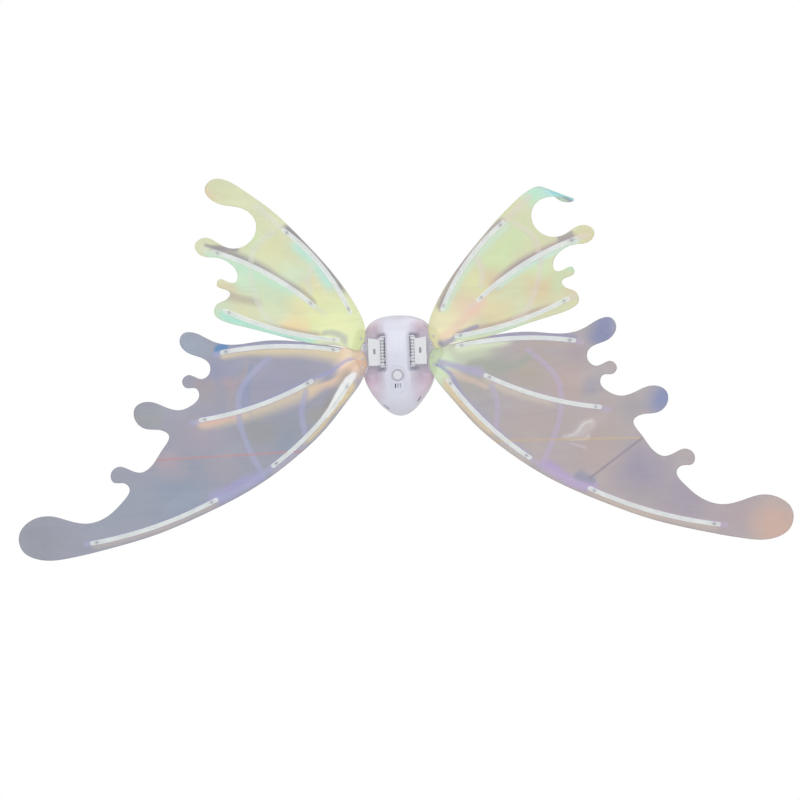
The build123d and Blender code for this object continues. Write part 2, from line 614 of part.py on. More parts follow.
def yoke():
    part = block((-YOKE_HALF[0], YOKE_HALF[0]),
                 (WING_DEPTH - YOKE_HALF[1], WING_DEPTH + YOKE_HALF[1]), YOKE_Z)
    for side in (1, -1):
        inner = PIVOT_X - LEVER - LEVER_END_R - 0.7
        half = LEVER_END_R + FORK_GAP
        fork = block((inner, YOKE_HALF[0] + 1), (WING_DEPTH - half, WING_DEPTH + half),
                     (LEVER_Z[0] - 0.4, LEVER_Z[1] + 0.4))
        part = part - on_side(fork, side)
    part = part - block((-1.0, 1.0), (WING_DEPTH - 5, WING_DEPTH + 5), (YOKE_Z[0] - 1, YOKE_Z[0] + 1.1))
    groove = CRANK_R + CRANK_PIN_R + 0.2
    return part - block((-groove, groove), (WING_DEPTH - CRANK_PIN_R - 0.1, WING_DEPTH + CRANK_PIN_R + 0.1),
                        (YOKE_Z[1] - 1.2, YOKE_Z[1] + 1))


# ---------------------------------------------------------------- swing arms
def swing_arm():
    """Right arm: comb-toothed barrel, plug socket outboard and drive lever inboard."""
    pivot = (PIVOT_X, WING_DEPTH)
    arm = upright(pivot, BARREL_R, (ARM_LOW, ARM_HIGH))
    arm = arm + block((PIVOT_X - COMB_HALF, SOCKET_IN), (WING_DEPTH, WING_DEPTH + BARREL_R),
                      (ARM_LOW, ARM_HIGH))
    for rib in range(BARREL_RIBS - 1):
        middle = (ARM_LOW + ARM_HIGH) / 2 + (rib - (BARREL_RIBS - 2) / 2) * RIB_PITCH
        ring = upright(pivot, BARREL_R + 1, (middle - GROOVE_HALF, middle + GROOVE_HALF))
        arm = arm - (ring - upright(pivot, BARREL_CORE_R, (middle - 1, middle + 1)))
    half = SOCKET_THICK / 2
    inner = SOCKET_IN - SOCKET_LAP
    face = make_face(Polyline((inner, ARM_LOW + 1.6), (SOCKET_IN + 2, ARM_LOW), (SOCKET_OUT - 1, ARM_LOW),
                              (SOCKET_OUT, ARM_LOW + 1), (SOCKET_OUT, ARM_HIGH), (inner, ARM_HIGH - 2.6),
                              close=True))
    socket = slab(face, WING_DEPTH - half, WING_DEPTH + half)
    front = [edge for edge in socket.edges() if edge.center().Y < -(WING_DEPTH + half - 0.1)]
    socket = fillet(front, SOCKET_ROUND)
    arm = arm + socket
    slot_half = TONGUE_THICK / 2 + SLIP
    arm = arm - block((SOCKET_OUT - TONGUE_REACH - SLIP, SOCKET_OUT + 1),
                      (WING_DEPTH - slot_half, WING_DEPTH + slot_half),
                      (TONGUE_LOW - SLIP, TONGUE_HIGH + SLIP))
    window = slab(Pos(WINDOW_X, WINDOW_Z) * RectangleRounded(*WINDOW_SIZE, 0.6), WING_DEPTH, WING_DEPTH + 9)
    arm = arm - window
    arm = arm - block((WINDOW_X, SOCKET_OUT + 1), (WING_DEPTH, WING_DEPTH + LATCH_DEPTH + SLIP),
                      (WINDOW_Z - LATCH_HALF - 0.2, WINDOW_Z + LATCH_HALF + 0.2))
    lever = block((PIVOT_X - LEVER, PIVOT_X), (WING_DEPTH - LEVER_HALF, WING_DEPTH + LEVER_HALF), LEVER_Z)
    arm = arm + lever + upright((PIVOT_X - LEVER, WING_DEPTH), LEVER_END_R, LEVER_Z)
    return arm - upright(pivot, PIN_R + RUN_GAP, (ARM_LOW - 1, ARM_HIGH + 1))


def hinge_pin():
    return upright((PIVOT_X, WING_DEPTH), PIN_R, (ARM_LOW - PIN_BELOW, ARM_HIGH + EAR_GAP + EAR_HEIGHT))


def socket_contacts():
    """Two sprung contact blades on the back wall of the plug slot."""
    back = WING_DEPTH - TONGUE_THICK / 2 - SLIP
    blades = []
    for z in CONTACT_Z:
        reach = (SOCKET_OUT - CONTACT_SPAN[0], SOCKET_OUT - CONTACT_SPAN[1])
        blades.append(block(reach, (back - BLADE_THICK, back), (z - BLADE_HALF, z + BLADE_HALF)))
    return blades


# ---------------------------------------------------------------- wings
def wing_bracket():
    """Clear root plate with the plug tongue that enters the arm's socket."""
    tongue = block((SOCKET_OUT - TONGUE_REACH, SOCKET_OUT + 0.5),
                   (WING_DEPTH - TONGUE_THICK / 2, WING_DEPTH + TONGUE_THICK / 2), (TONGUE_LOW, TONGUE_HIGH))
    outline = make_face(Polyline(*BRACKET_CORNERS, close=True))
    plate = slab(fillet(outline.vertices(), 2), *BRACKET_DEPTHS)
    collar = block((SOCKET_OUT + 0.3, SOCKET_OUT + 1.5), (31.0, 34.2), (TONGUE_LOW, TONGUE_HIGH))
    bump = slab(Pos(WINDOW_X, WINDOW_Z) * RectangleRounded(2.0, 2 * LATCH_HALF, 0.5), WING_DEPTH,
                WING_DEPTH + LATCH_DEPTH)
    bracket = tongue + plate + collar - slab(Pos(29.4, WINDOW_Z) * Rectangle(0.6, 12), 28, 38)
    bracket = bracket + bump
    for x, z in BRACKET_SCREWS:
        bracket = bracket - bolt(x, z, ROOT_HOLE_R, (BRACKET_DEPTHS[0] - 3, BRACKET_DEPTHS[1] + 3))
    near = WING_DEPTH - TONGUE_THICK / 2
    for z in CONTACT_Z:
        bracket = bracket - block(PAD_X, (near - 1, near + PAD_THICK), (z - PAD_HALF, z + PAD_HALF))
    return bracket


def plug_contacts():
    near = WING_DEPTH - TONGUE_THICK / 2
    return Compound([block(PAD_X, (near, near + PAD_THICK), (z - PAD_HALF, z + PAD_HALF)) for z in CONTACT_Z])


def film(level):
    outline = UPPER_OUTLINE if level == "upper" else LOWER_OUTLINE
    near = FILM_DEPTHS[level]
    sheet = slab(outline_wire(outline), near, near + FILM)
    for x, z in BRACKET_SCREWS:
        sheet = sheet - bolt(x, z, ROOT_HOLE_R, (near - 1, near + 1))
    for arc_level, *points in RIB_ARCS.values():
        if arc_level == level:
            line = ThreePointArc(*points)
            for station in (EYELET_INSET, 1 - EYELET_INSET):
                spot = line @ station
                sheet = sheet - bolt(spot.X, spot.Y, EYELET_SHANK_R, (near - 1, near + 1))
    return sheet


def rib(name):
    """Clear channel strip: rounded ends, a groove in its back for the light strip."""
    level, *points = RIB_ARCS[name]
    base = FILM_DEPTHS[level] + FILM
    line = ThreePointArc(*points)
    bar = slab(SlotArc(line, RIB_WIDTH), base, base + RIB_HEIGHT)
    top = [edge for edge in bar.edges() if edge.center().Y < -(base + RIB_HEIGHT - 0.1)]
    bar = chamfer(top, 0.5)
    inner = line.trim(0.07, 0.93)
    bar = bar - slab(SlotArc(inner, CHANNEL_WIDTH), base - 1, base + CHANNEL_HEIGHT)
    for station in (EYELET_INSET, 1 - EYELET_INSET):
        spot = line @ station
        bar = bar - bolt(spot.X, spot.Y, EYELET_SHANK_R, (base - 1, base + 4))
    return bar


def light_strip(name):
    """Thin lit strip in the rib's groove, with three light chips."""
    level, *points = RIB_ARCS[name]
    base = FILM_DEPTHS[level] + FILM
    line = ThreePointArc(*points).trim(0.075, 0.925)
    strip = slab(SlotArc(line, STRIP_WIDTH), base, base + STRIP_HEIGHT)
    for station in CHIP_STATIONS:
        spot = line @ station
        lean = math.degrees(math.atan2((line % station).Y, (line % station).X))
        chip = Pos(spot.X, spot.Y) * Rot(0, 0, lean) * Rectangle(CHIP[0], CHIP[1])
        strip = strip + slab(chip, base + STRIP_HEIGHT, base + STRIP_HEIGHT + CHIP[2])
    return strip


def rib_eyelets():
    eyelets = []
    for level, *points in RIB_ARCS.values():
        near = FILM_DEPTHS[level]
        base = near + FILM + RIB_HEIGHT
        line = ThreePointArc(*points)
        for station in (EYELET_INSET, 1 - EYELET_INSET):
            spot = line @ station
            ring = bolt(spot.X, spot.Y, EYELET_R, (base, base + 0.5))
            ring = ring + bolt(spot.X, spot.Y, EYELET_SHANK_R, (near - 0.4, base))
            ring = ring + bolt(spot.X, spot.Y, EYELET_R, (near - 0.5, near))
            eyelets.append(ring - bolt(spot.X, spot.Y, EYELET_HOLE_R, (near - 1, base + 1)))
    return Compound(eyelets)


def root_screws():
    screws = []
    for x, z in BRACKET_SCREWS:
        level = "upper" if z > 20 else "lower"
        front = FILM_DEPTHS[level] + FILM
        shank = bolt(x, z, ROOT_SCREW_R, (BRACKET_DEPTHS[0] + 0.1, front))
        screws.append(shank + bolt(x, z, ROOT_HEAD_R, (front, front + ROOT_HEAD)))
    return Compound(screws)


# ---------------------------------------------------------------- front controls
def power_button():
    near = RECESS_DEPTH - 1.6
    far = RECESS_DEPTH + 1.3
    cap = bolt(0, BUTTON_Z, BUTTON_R, (near, far))
    front = [edge for edge in cap.edges() if edge.center().Y < -(far - 0.2)]
    cap = fillet(front, 0.8)
    return cap + bolt(0, BUTTON_Z, 2.0, (BOARD_DEPTHS[1] + 4.6 + BUTTON_TRAVEL + 0.1, near))


def button_bezel():
    ring = bolt(0, BUTTON_Z, BEZEL_R - 0.05, (RECESS_DEPTH - 1, RECESS_DEPTH + 0.5))
    return ring - bolt(0, BUTTON_Z, BUTTON_R + 0.3, (RECESS_DEPTH - 2, POD_DEPTH))


def power_switch():
    base = BOARD_DEPTHS[1]
    body = slab(Pos(0, BUTTON_Z) * RectangleRounded(6, 6, 0.5), base, base + 3.6)
    return body + bolt(0, BUTTON_Z, 1.7, (base + 3.6, base + 4.6))


def circuit_board():
    board = block((-12.5, 12.5), BOARD_DEPTHS, BOARD_Z)
    for x in (-10.5, 10.5):
        board = board - bolt(x, -10, 1.2, (20, 26))
    return board


def board_parts():
    """Driver chip, capacitor and plug header soldered on the board's front."""
    base = BOARD_DEPTHS[1]
    chip = block((-9.5, -5.5), (base, base + 1.6), (-8.5, -2.5))
    header = block((4.5, 10), (base, base + 2.5), (-5.5, -1.5))
    return Compound([chip, header, bolt(7, -15, 2, (base, base + 4.5))])


def speaker():
    cone = bolt(0, SPEAKER_Z, SPEAKER_R, (24, 28.2)) + bolt(0, SPEAKER_Z, SPEAKER_R - 3.2, (20, 24))
    return cone - bolt(0, SPEAKER_Z, SPEAKER_R - 1.2, (26.6, 30))


# ---------------------------------------------------------------- build
def main():
    os.makedirs("parts", exist_ok=True)
    cells = [(-CELL_PITCH, True), (0.0, False), (CELL_PITCH, True)]
    save(front_shell(), "front_shell")
    save(back_shell(), "back_shell")
    save(shell_screws(), "shell_screws")
    save(battery_door(), "battery_door")
    save(battery_door_screw(), "battery_door_screw")
    save(battery_tray(), "battery_tray")
    for number, (x, up) in enumerate(cells):
        save(battery_cell(x, up), "battery_cell_" + str(number + 1))
    save(Compound(contact_plates() + contact_springs(cells)), "battery_contacts")
    save(output_gear(), "output_gear")
    save(compound_gear(SECOND_AXIS, SECOND_PINION_TURN, (OUTPUT_GEAR_Z[0] - 0.1, SECOND_WHEEL_Z[0]),
                       SECOND_WHEEL_TURN, SECOND_WHEEL_Z), "second_gear")
    save(compound_gear(FIRST_AXIS, FIRST_PINION_TURN, (SECOND_WHEEL_Z[0] - 0.1, FIRST_WHEEL_Z[0]),
                       FIRST_WHEEL_TURN, FIRST_WHEEL_Z), "first_gear")
    save(motor_pinion(), "motor_pinion")
    save(motor(), "motor")
    save(gearbox_lower_plate(), "gearbox_lower_plate")
    save(gearbox_upper_plate(), "gearbox_upper_plate")
    save(gearbox_screws(), "gearbox_screws")
    save(gear_axles(), "gear_axles")
    save(yoke_guide(), "yoke_guide")
    save(yoke(), "yoke")
    save(power_button(), "power_button")
    save(button_bezel(), "button_bezel")
    save(power_switch(), "power_switch")
    save(circuit_board(), "circuit_board")
    save(board_parts(), "board_components")
    save(speaker(), "speaker")
    save(Compound([on_side(hinge_pin(), side) for side in (1, -1)]), "hinge_pins")
    for side, prefix in ((1, "right_"), (-1, "left_")):
        blades = socket_contacts()
        save(on_side(swing_arm() - blades[0] - blades[1], side), prefix + "swing_arm")
        save(on_side(Compound(blades), side), prefix + "socket_contacts")
        save(on_side(wing_bracket(), side), prefix + "wing_bracket")
        save(on_side(plug_contacts(), side), prefix + "plug_contacts")
        save(on_side(root_screws(), side), prefix + "root_screws")
        save(on_side(rib_eyelets(), side), prefix + "rib_eyelets")
        for level in ("upper", "lower"):
            save(on_side(film(level), side), prefix + level + "_film")
        for name in RIB_ARCS:
            save(on_side(rib(name), side), prefix + name + "_rib")
        strips = Compound([light_strip(name) for name in RIB_ARCS])
        save(on_side(strips, side), prefix + "lights")


main()
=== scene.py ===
import json
import math

import bmesh
import bpy
import numpy as np
from mathutils import Matrix, Vector, geometry


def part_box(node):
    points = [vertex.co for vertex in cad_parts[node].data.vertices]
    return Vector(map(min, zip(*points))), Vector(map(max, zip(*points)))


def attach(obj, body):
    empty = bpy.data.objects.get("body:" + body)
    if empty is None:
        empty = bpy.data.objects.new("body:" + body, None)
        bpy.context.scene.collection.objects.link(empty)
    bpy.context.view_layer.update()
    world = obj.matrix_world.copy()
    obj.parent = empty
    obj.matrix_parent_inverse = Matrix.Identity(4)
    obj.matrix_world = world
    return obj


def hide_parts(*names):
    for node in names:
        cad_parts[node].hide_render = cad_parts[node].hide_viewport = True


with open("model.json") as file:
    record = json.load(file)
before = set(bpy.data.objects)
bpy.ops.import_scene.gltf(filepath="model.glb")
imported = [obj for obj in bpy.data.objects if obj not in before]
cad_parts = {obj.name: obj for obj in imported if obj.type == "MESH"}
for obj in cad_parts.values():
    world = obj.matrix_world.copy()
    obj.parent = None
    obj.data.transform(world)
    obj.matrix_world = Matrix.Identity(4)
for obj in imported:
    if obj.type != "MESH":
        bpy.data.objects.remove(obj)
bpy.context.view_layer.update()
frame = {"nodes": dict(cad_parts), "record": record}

NODES = frame["nodes"]
MM = 0.001
SIDES = {"right": 1.0, "left": -1.0}

# ---- view and stage
CAMERA_AZIMUTH = math.radians(4.0)
CAMERA_ROLL = math.radians(1.9)
CAMERA_DISTANCE = 4.0
VIEW_WIDTH = 0.968
VIEW_CENTRE = (0.001, -0.033, -0.042)
SENSOR = 36.0
FLOOR_Z = -0.76
FLOOR_SIZE = 3.2

# ---- film sheets
MESH_STEP = 1.7 * MM
FILM_THICKNESS = 0.3 * MM
FILM_ALPHA = 0.62
FILM_CLEAR = (1 - FILM_ALPHA) ** 2
FILM_GAIN = 0.71
VEIN_WIDTH = 7.6 * MM
VEIN_SOFT = 1.4 * MM
VEIN_LIFT = 0.4 * MM
RIB_HALF = 2.6 * MM
VEIN_START = (0.060, 0.085)
ROOT_PLACE = (0.030, 0.018)
RIB_FLAT = 4.0 * MM
RIB_FREE = 28.0 * MM
ROOT_FLAT = 58.0 * MM
ROOT_FREE = 95.0 * MM
BILLOW = 3.4 * MM
CREASE_REACH = 7.0 * MM
TINT_WOBBLE = 5.0 * MM
GAP_SOFT = 2.0 * MM

# Vein lines in mm, outward from the pod and up. Words name rib nodes whose own line the vein follows.
VEINS = {
    "upper": [["upper_edge", (50, 50), (166, 199)], ["upper_middle", (60, 45), (232, 149)],
              ["upper_base", (52, 27), (215, 76)]],
    "lower": [["lower_top", (48, 12), (222, 20.5)], ["lower_middle", (48, 6), (70, 2), (253, -62)],
              ["lower_inner", (43, -3), (175, -132), (200, -146), "lower_tail", (388, -205)]]}
VEIN_ARCS = {
    "upper": [[(147, 167), (168, 150), (175, 130), (176, 113), (170, 87), (158, 62), (144, 51)],
              [(97, 130), (106, 110), (103, 93)]],
    "lower": [[(157, 14), (181, -8), (193, -26), (196, -48), (193, -70), (185, -94), (172, -121)],
              [(113, -28), (119, -52), (116, -78)]]}
VEIN_COLOURS = {("left", "upper"): ((220, 224, 212), 0.5), ("right", "upper"): ((224, 214, 206), 0.5),
                ("left", "lower"): ((174, 177, 208), 0.6), ("right", "lower"): ((192, 180, 206), 0.55)}
# Packing creases in mm: two ends, the height of the fold, and the colour of its line, painted shade and sheen along
# the fold.
CREASES = {
    ("left", "lower"): [((110, -100), (330, -106), 0.7, (198, 150, 150))],
    ("right", "lower"): [((110, -95), (292, -97), 0.7, (206, 184, 152)),
                         ((292, -97), (228, -143), 0.6, (140, 136, 150))],
    ("left", "upper"): [],
    ("right", "upper"): []}
# Lobe curls in mm and degrees: the turning line's ends and the turn.
CURLS = {
    ("left", "upper"): [((178, 214), (229, 226), 16), ((205, 150), (242, 154), -12)],
    ("right", "upper"): [((205, 145), (242, 154), -16)],
    ("left", "lower"): [((222, 30), (265, 40), 16), ((400, -198), (469, -200), -8), ((285, -55), (324, -50), 12)],
    ("right", "lower"): [((222, 30), (265, 40), -14), ((400, -198), (469, -200), 10),
                         ((285, -55), (324, -50), -14)]}
CURL_REACH = (22.0 * MM, 34.0 * MM)
# Lobe rolls in mm: a place on the line where the roll starts, the line's direction, and the radius.
ROLLS = {("right", "upper"): [((182, 182), (0.92, -0.39), 26.0)]}
ROLL_LIMIT = 45.0 * MM
ROLL_FLATNESS = 0.85

# Film colours as display values. First the colour of the whole sheet, then soft zones in mm:
# place outward and up, radius, colour and strength.
FILM_BASE = {("left", "upper"): (221, 223, 189), ("right", "upper"): (218, 220, 186),
             ("left", "lower"): (165, 166, 180), ("right", "lower"): (186, 177, 178)}
FILM_ZONES = {
    ("left", "upper"): [
        ((72, 45), 48, (236, 246, 192), 1.0), ((100, 75), 34, (232, 234, 182), 0.8),
        ((120, 54), 20, (242, 218, 176), 0.75), ((150, 96), 36, (208, 230, 204), 0.65),
        ((185, 115), 30, (204, 232, 208), 0.8), ((150, 140), 28, (222, 224, 182), 0.8),
        ((125, 118), 22, (208, 230, 208), 0.5), ((178, 165), 26, (212, 228, 190), 0.8),
        ((232, 210), 22, (230, 212, 184), 0.9), ((205, 215), 26, (221, 224, 186), 0.8),
        ((238, 150), 20, (220, 222, 190), 0.8), ((205, 95), 22, (220, 212, 180), 0.9),
        ((212, 72), 24, (210, 224, 200), 0.7), ((100, 100), 16, (238, 222, 182), 0.4)],
    ("right", "upper"): [
        ((64, 38), 40, (240, 234, 196), 1.0), ((90, 66), 26, (236, 206, 186), 0.7),
        ((100, 92), 28, (226, 226, 180), 0.8), ((120, 60), 26, (230, 216, 176), 0.75),
        ((128, 130), 30, (212, 228, 184), 0.9), ((150, 150), 26, (210, 226, 184), 0.8),
        ((118, 100), 18, (222, 206, 176), 0.8), ((175, 88), 30, (224, 208, 172), 0.9),
        ((172, 112), 20, (210, 228, 190), 0.8), ((200, 98), 20, (208, 222, 184), 0.8),
        ((222, 116), 16, (188, 230, 196), 1.0), ((225, 84), 22, (220, 206, 178), 0.8),
        ((170, 208), 24, (196, 230, 206), 1.0), ((205, 215), 34, (178, 228, 230), 1.0),
        ((232, 208), 20, (166, 222, 234), 1.0), ((232, 150), 20, (220, 214, 176), 0.9)],
    ("left", "lower"): [
        ((54, 8), 34, (252, 224, 198), 1.0), ((92, 8), 24, (172, 170, 188), 0.6),
        ((150, -20), 50, (166, 165, 186), 0.8), ((255, 32), 30, (166, 176, 192), 1.0),
        ((222, 0), 28, (158, 160, 186), 0.9), ((205, -18), 16, (182, 166, 174), 0.8),
        ((236, -22), 20, (176, 166, 172), 0.8), ((170, -70), 34, (160, 162, 166), 0.8),
        ((130, -75), 30, (152, 160, 172), 0.8), ((140, -95), 26, (150, 160, 178), 0.7),
        ((245, -72), 34, (176, 166, 178), 0.8), ((305, -55), 30, (166, 168, 174), 0.9),
        ((215, -118), 26, (172, 168, 178), 0.7), ((285, -112), 26, (192, 172, 180), 0.8),
        ((272, -150), 52, (152, 164, 182), 0.9), ((340, -160), 44, (158, 168, 182), 0.8),
        ((370, -185), 40, (164, 170, 184), 0.8), ((445, -200), 40, (156, 160, 170), 0.9),
        ((100, -60), 20, (166, 164, 160), 0.8)],
    ("right", "lower"): [
        ((50, 0), 38, (220, 236, 202), 1.0), ((95, 10), 30, (206, 216, 190), 0.8),
        ((95, -22), 30, (178, 178, 172), 0.9), ((120, -8), 26, (172, 176, 168), 0.8),
        ((160, -10), 36, (184, 176, 166), 0.9), ((205, -26), 34, (192, 174, 170), 0.9),
        ((252, 34), 30, (144, 150, 182), 1.0), ((215, 10), 22, (182, 170, 176), 0.8),
        ((238, -28), 18, (168, 164, 176), 0.8), ((318, -48), 30, (142, 150, 186), 1.0),
        ((280, -60), 24, (172, 168, 174), 0.8), ((170, -75), 40, (188, 176, 174), 0.8),
        ((105, -55), 22, (180, 176, 180), 0.8), ((240, -82), 34, (190, 176, 172), 0.8),
        ((235, -118), 34, (190, 174, 172), 0.8), ((290, -135), 46, (166, 158, 176), 0.9),
        ((340, -170), 46, (170, 160, 176), 0.8), ((400, -195), 40, (184, 170, 176), 0.8),
        ((450, -205), 42, (208, 180, 168), 1.0)]}
# Streaks of painted shade above the ribs, and painted reflection below them and along folds and crinkles, with some
# interference tint: a rib or a line in mm, the side it lies on (1 above, -1 below, 0 both), the width in mm at
# the inner and outer end, the part of the line it covers, colour and strength.
FILM_SHADE_SHEEN_TINT_STREAKS = {
    ("left", "upper"): [
        ("upper_edge", 1, (9, 10), (0.12, 1.05), (146, 138, 152), 0.95),
        ("upper_edge", -1, (12, 16), (0.2, 0.95), (192, 232, 222), 0.85),
        ("upper_middle", 1, (7, 12), (0.0, 1.05), (176, 166, 166), 0.7),
        ("upper_middle", 1, (3, 6), (0.1, 1.05), (150, 146, 158), 0.6),
        ("upper_middle", -1, (10, 20), (0.1, 1.0), (200, 232, 210), 0.8),
        ("upper_base", 1, (9, 8), (0.05, 0.7), (184, 172, 160), 0.8),
        ([(200, 147), (214, 152), (230, 155)], 0, (7, 5), (0.0, 1.05), (150, 144, 158), 0.75),
        ([(56, 26), (74, 35), (94, 40)], 0, (12, 6), (0.02, 0.9), (166, 160, 188), 0.5),
        ([(172, 80), (212, 87)], 0, (9, 10), (0.0, 1.0), (190, 182, 168), 0.7),
        ("upper_base", -1, (8, 18), (0.1, 1.1), (186, 230, 214), 1.0),
        ([(60, 22), (110, 30), (150, 44)], -1, (6, 5), (0.0, 0.9), (190, 186, 206), 0.6)],
    ("right", "upper"): [
        ("upper_edge", 1, (9, 9), (-0.2, 1.05), (172, 160, 162), 0.9),
        ("upper_edge", -1, (10, 12), (0.0, 1.0), (206, 232, 216), 0.7),
        ("upper_middle", 1, (8, 10), (0.1, 1.05), (184, 164, 166), 0.8),
        ("upper_middle", 1, (3, 5), (0.2, 1.05), (152, 144, 158), 0.7),
        ("upper_middle", -1, (6, 10), (0.1, 1.05), (206, 232, 222), 0.85),
        ("upper_base", 1, (9, 5), (0.0, 0.95), (190, 168, 160), 0.8),
        ([(188, 145), (206, 152), (221, 157)], 0, (8, 6), (0.02, 0.9), (152, 146, 160), 0.6),
        ([(60, 30), (78, 36), (98, 40)], 0, (7, 5), (0.0, 1.0), (160, 158, 184), 0.8),
        ("upper_base", -1, (7, 10), (0.0, 0.7), (204, 230, 208), 0.8),
        ([(62, 38), (84, 60), (104, 76)], 0, (8, 11), (0.0, 1.0), (236, 202, 190), 0.5),
        ([(205, 229), (230, 222)], 0, (3, 4), (0.0, 1.0), (150, 150, 180), 0.8)],
    ("left", "lower"): [
        ("lower_top", 1, (8, 12), (-0.1, 1.0), (160, 159, 182), 0.8),
        ("lower_top", -1, (20, 9), (-0.1, 1.1), (228, 214, 180), 0.85),
        ([(206, 30), (222, 30)], 0, (9, 7), (0.0, 1.0), (84, 146, 194), 0.9),
        ([(190, 10), (196, -20), (205, -45)], 0, (8, 9), (0.0, 1.0), (184, 172, 176), 0.3),
        ([(180, 6), (184, -18), (190, -42)], 0, (8, 9), (0.0, 1.0), (150, 162, 190), 0.7),
        ("lower_middle", 1, (4, 5), (0.0, 1.0), (158, 160, 190), 0.6),
        ([(50, 4), (84, -12), (110, -24)], -1, (14, 16), (0.0, 1.0), (228, 200, 178), 0.9),
        ("lower_middle", -1, (22, 15), (0.0, 1.05), (220, 206, 180), 0.8),
        ("lower_middle", -1, (5, 12), (0.6, 1.05), (226, 190, 178), 0.8),
        ([(50, 6), (74, 0), (96, -10)], 1, (7, 7), (0.0, 1.0), (166, 168, 214), 0.8),
        ([(58, -18), (72, -40), (86, -60)], 1, (22, 12), (0.0, 1.0), (160, 156, 150), 0.8),
        ("lower_inner", -1, (10, 6), (-0.1, 0.75), (226, 210, 172), 0.95),
        ("lower_inner", -1, (10, 14), (0.6, 1.2), (186, 182, 196), 0.8),
        ([(175, -128), (205, -144), (228, -154)], 0, (11, 12), (0.0, 1.0), (170, 168, 206), 0.85),
        ("lower_tail", -1, (9, 9), (-0.1, 1.1), (198, 186, 178), 0.8),
        ([(188, -30), (178, -60)], 0, (4, 4), (0.0, 1.0), (166, 168, 196), 0.3)],
    ("right", "lower"): [
        ("lower_top", 1, (8, 12), (0.2, 1.0), (158, 157, 186), 0.8),
        ("lower_top", -1, (12, 8), (-0.2, 0.5), (222, 232, 204), 0.9),
        ("lower_top", -1, (9, 9), (0.5, 1.1), (192, 178, 172), 0.7),
        ([(90, -4), (130, -6), (165, 4)], 0, (10, 8), (0.0, 1.0), (170, 176, 166), 0.7),
        ("lower_middle", -1, (10, 14), (-0.1, 0.7), (208, 198, 186), 0.85),
        ([(48, 4), (72, -2), (98, -13)], 0, (8, 8), (0.0, 1.0), (182, 176, 206), 0.8),
        ([(62, -10), (84, -20), (104, -28)], 0, (9, 8), (0.0, 1.0), (218, 196, 184), 0.7),
        ([(44, -4), (62, -18), (78, -40)], 1, (10, 8), (0.0, 1.0), (158, 160, 198), 0.85),
        ("lower_inner", 1, (7, 7), (-0.1, 1.0), (172, 170, 196), 0.6),
        ("lower_inner", -1, (10, 6), (-0.2, 0.7), (224, 208, 172), 0.95),
        ("lower_inner", -1, (8, 12), (0.6, 1.2), (200, 194, 186), 0.8),
        ([(172, -124), (205, -144), (228, -154)], 0, (11, 12), (0.0, 1.0), (188, 170, 208), 0.9),
        ([(218, -140), (230, -146)], 0, (8, 6), (0.0, 1.0), (146, 152, 176), 0.7),
        ("lower_tail", -1, (9, 9), (-0.1, 1.1), (204, 190, 176), 0.8),
        ([(196, -90), (232, -82)], 0, (7, 12), (0.0, 1.0), (214, 206, 208), 0.5),
        ([(200, -88), (232, -78)], 0, (2, 3), (0.0, 1.0), (226, 220, 220), 0.6),
        ([(198, -96), (230, -92)], 0, (2, 3), (0.0, 1.0), (226, 220, 220), 0.5),
        ([(205, -103), (224, -105)], 0, (3, 4), (0.0, 1.0), (214, 204, 214), 0.5)]}

# Painted white where the film gapes beside a rib and the bright backdrop shows through; the sheet itself stays
# closed here. Corners in mm.
FILM_GAP_PAINTED_WHITE = {("left", "lower"): [[(52, -8), (56, -8), (64, -14), (75, -30), (84, -46), (94, -61), (88, -59),
                                  (80, -50), (70, -37), (60, -22), (53, -13)]]}

# ---- pod front
POD_STEP = 1.0 * MM
SEAM_Y = -14.0 * MM
DOME_HEIGHT = 34.0 * MM
DOME_POWERS = (2.6, 0.46)
RIM_STEPS = (0.0, 0.08, 0.17, 0.27, 0.36, 0.41, 0.47, 0.56, 0.64)
RIM_POINTS = 260
BAND_WALL = 15.4 * MM
BAND_ROUND = 4.6 * MM
DECK = 22.0 * MM
CRADLE = (29.6 * MM, 16.2 * MM, 19.4 * MM)
SCOOP_LOW = (-38.0 * MM, -10.0 * MM)
SCOOP_HIGH = (39.0 * MM, 60.0 * MM)
SCOOP_SOFT = ((-9.0 * MM, -3.0 * MM), (35.0 * MM, 41.0 * MM))
SCOOP_EDGE = (14.5 * MM, 29.0 * MM)
RECESS_MIDDLE = (-26.5 * MM, -9.5 * MM)
RECESS_HALF = 9.4 * MM
RECESS_STEP = 1.3 * MM
PAD_MIDDLE = (-29.0 * MM, -22.5 * MM)
PAD_HALF = 6.2 * MM
PAD_RISE = 0.7 * MM
BUTTON_HOLE = ((0.0, -12.0 * MM), 7.5 * MM)
SOUND_SLOTS = (-3.0 * MM, 0.0, 3.0 * MM)
SOUND_SLOT = (-27.0 * MM, -22.6 * MM, 0.6 * MM)
EAR_PLACES = ((-1.9 * MM, -0.1 * MM), (34.3 * MM, 36.1 * MM))
EAR_CENTRE = (18.5 * MM, -33.0 * MM)
EAR_RADIUS = 2.5 * MM
SHELL_WALL = 1.2 * MM
POD_BASE = (232, 233, 246)
# Painted pink reflections of the films on the pod's sides, and painted shade: darker towards the bottom and the top
# rim. Each zone: place in mm outward and up, radius, colour and strength.
POD_REFLECTION_AND_SHADE_ZONES = [((31, 46), 20, (238, 220, 234), 1.0), ((36, 20), 22, (232, 220, 232), 0.8),
             ((36, -20), 24, (230, 206, 222), 1.0), ((30, -38), 18, (226, 210, 224), 0.7),
             ((0, -56), 20, (226, 226, 238), 0.8), ((0, 58), 12, (224, 222, 234), 0.6)]
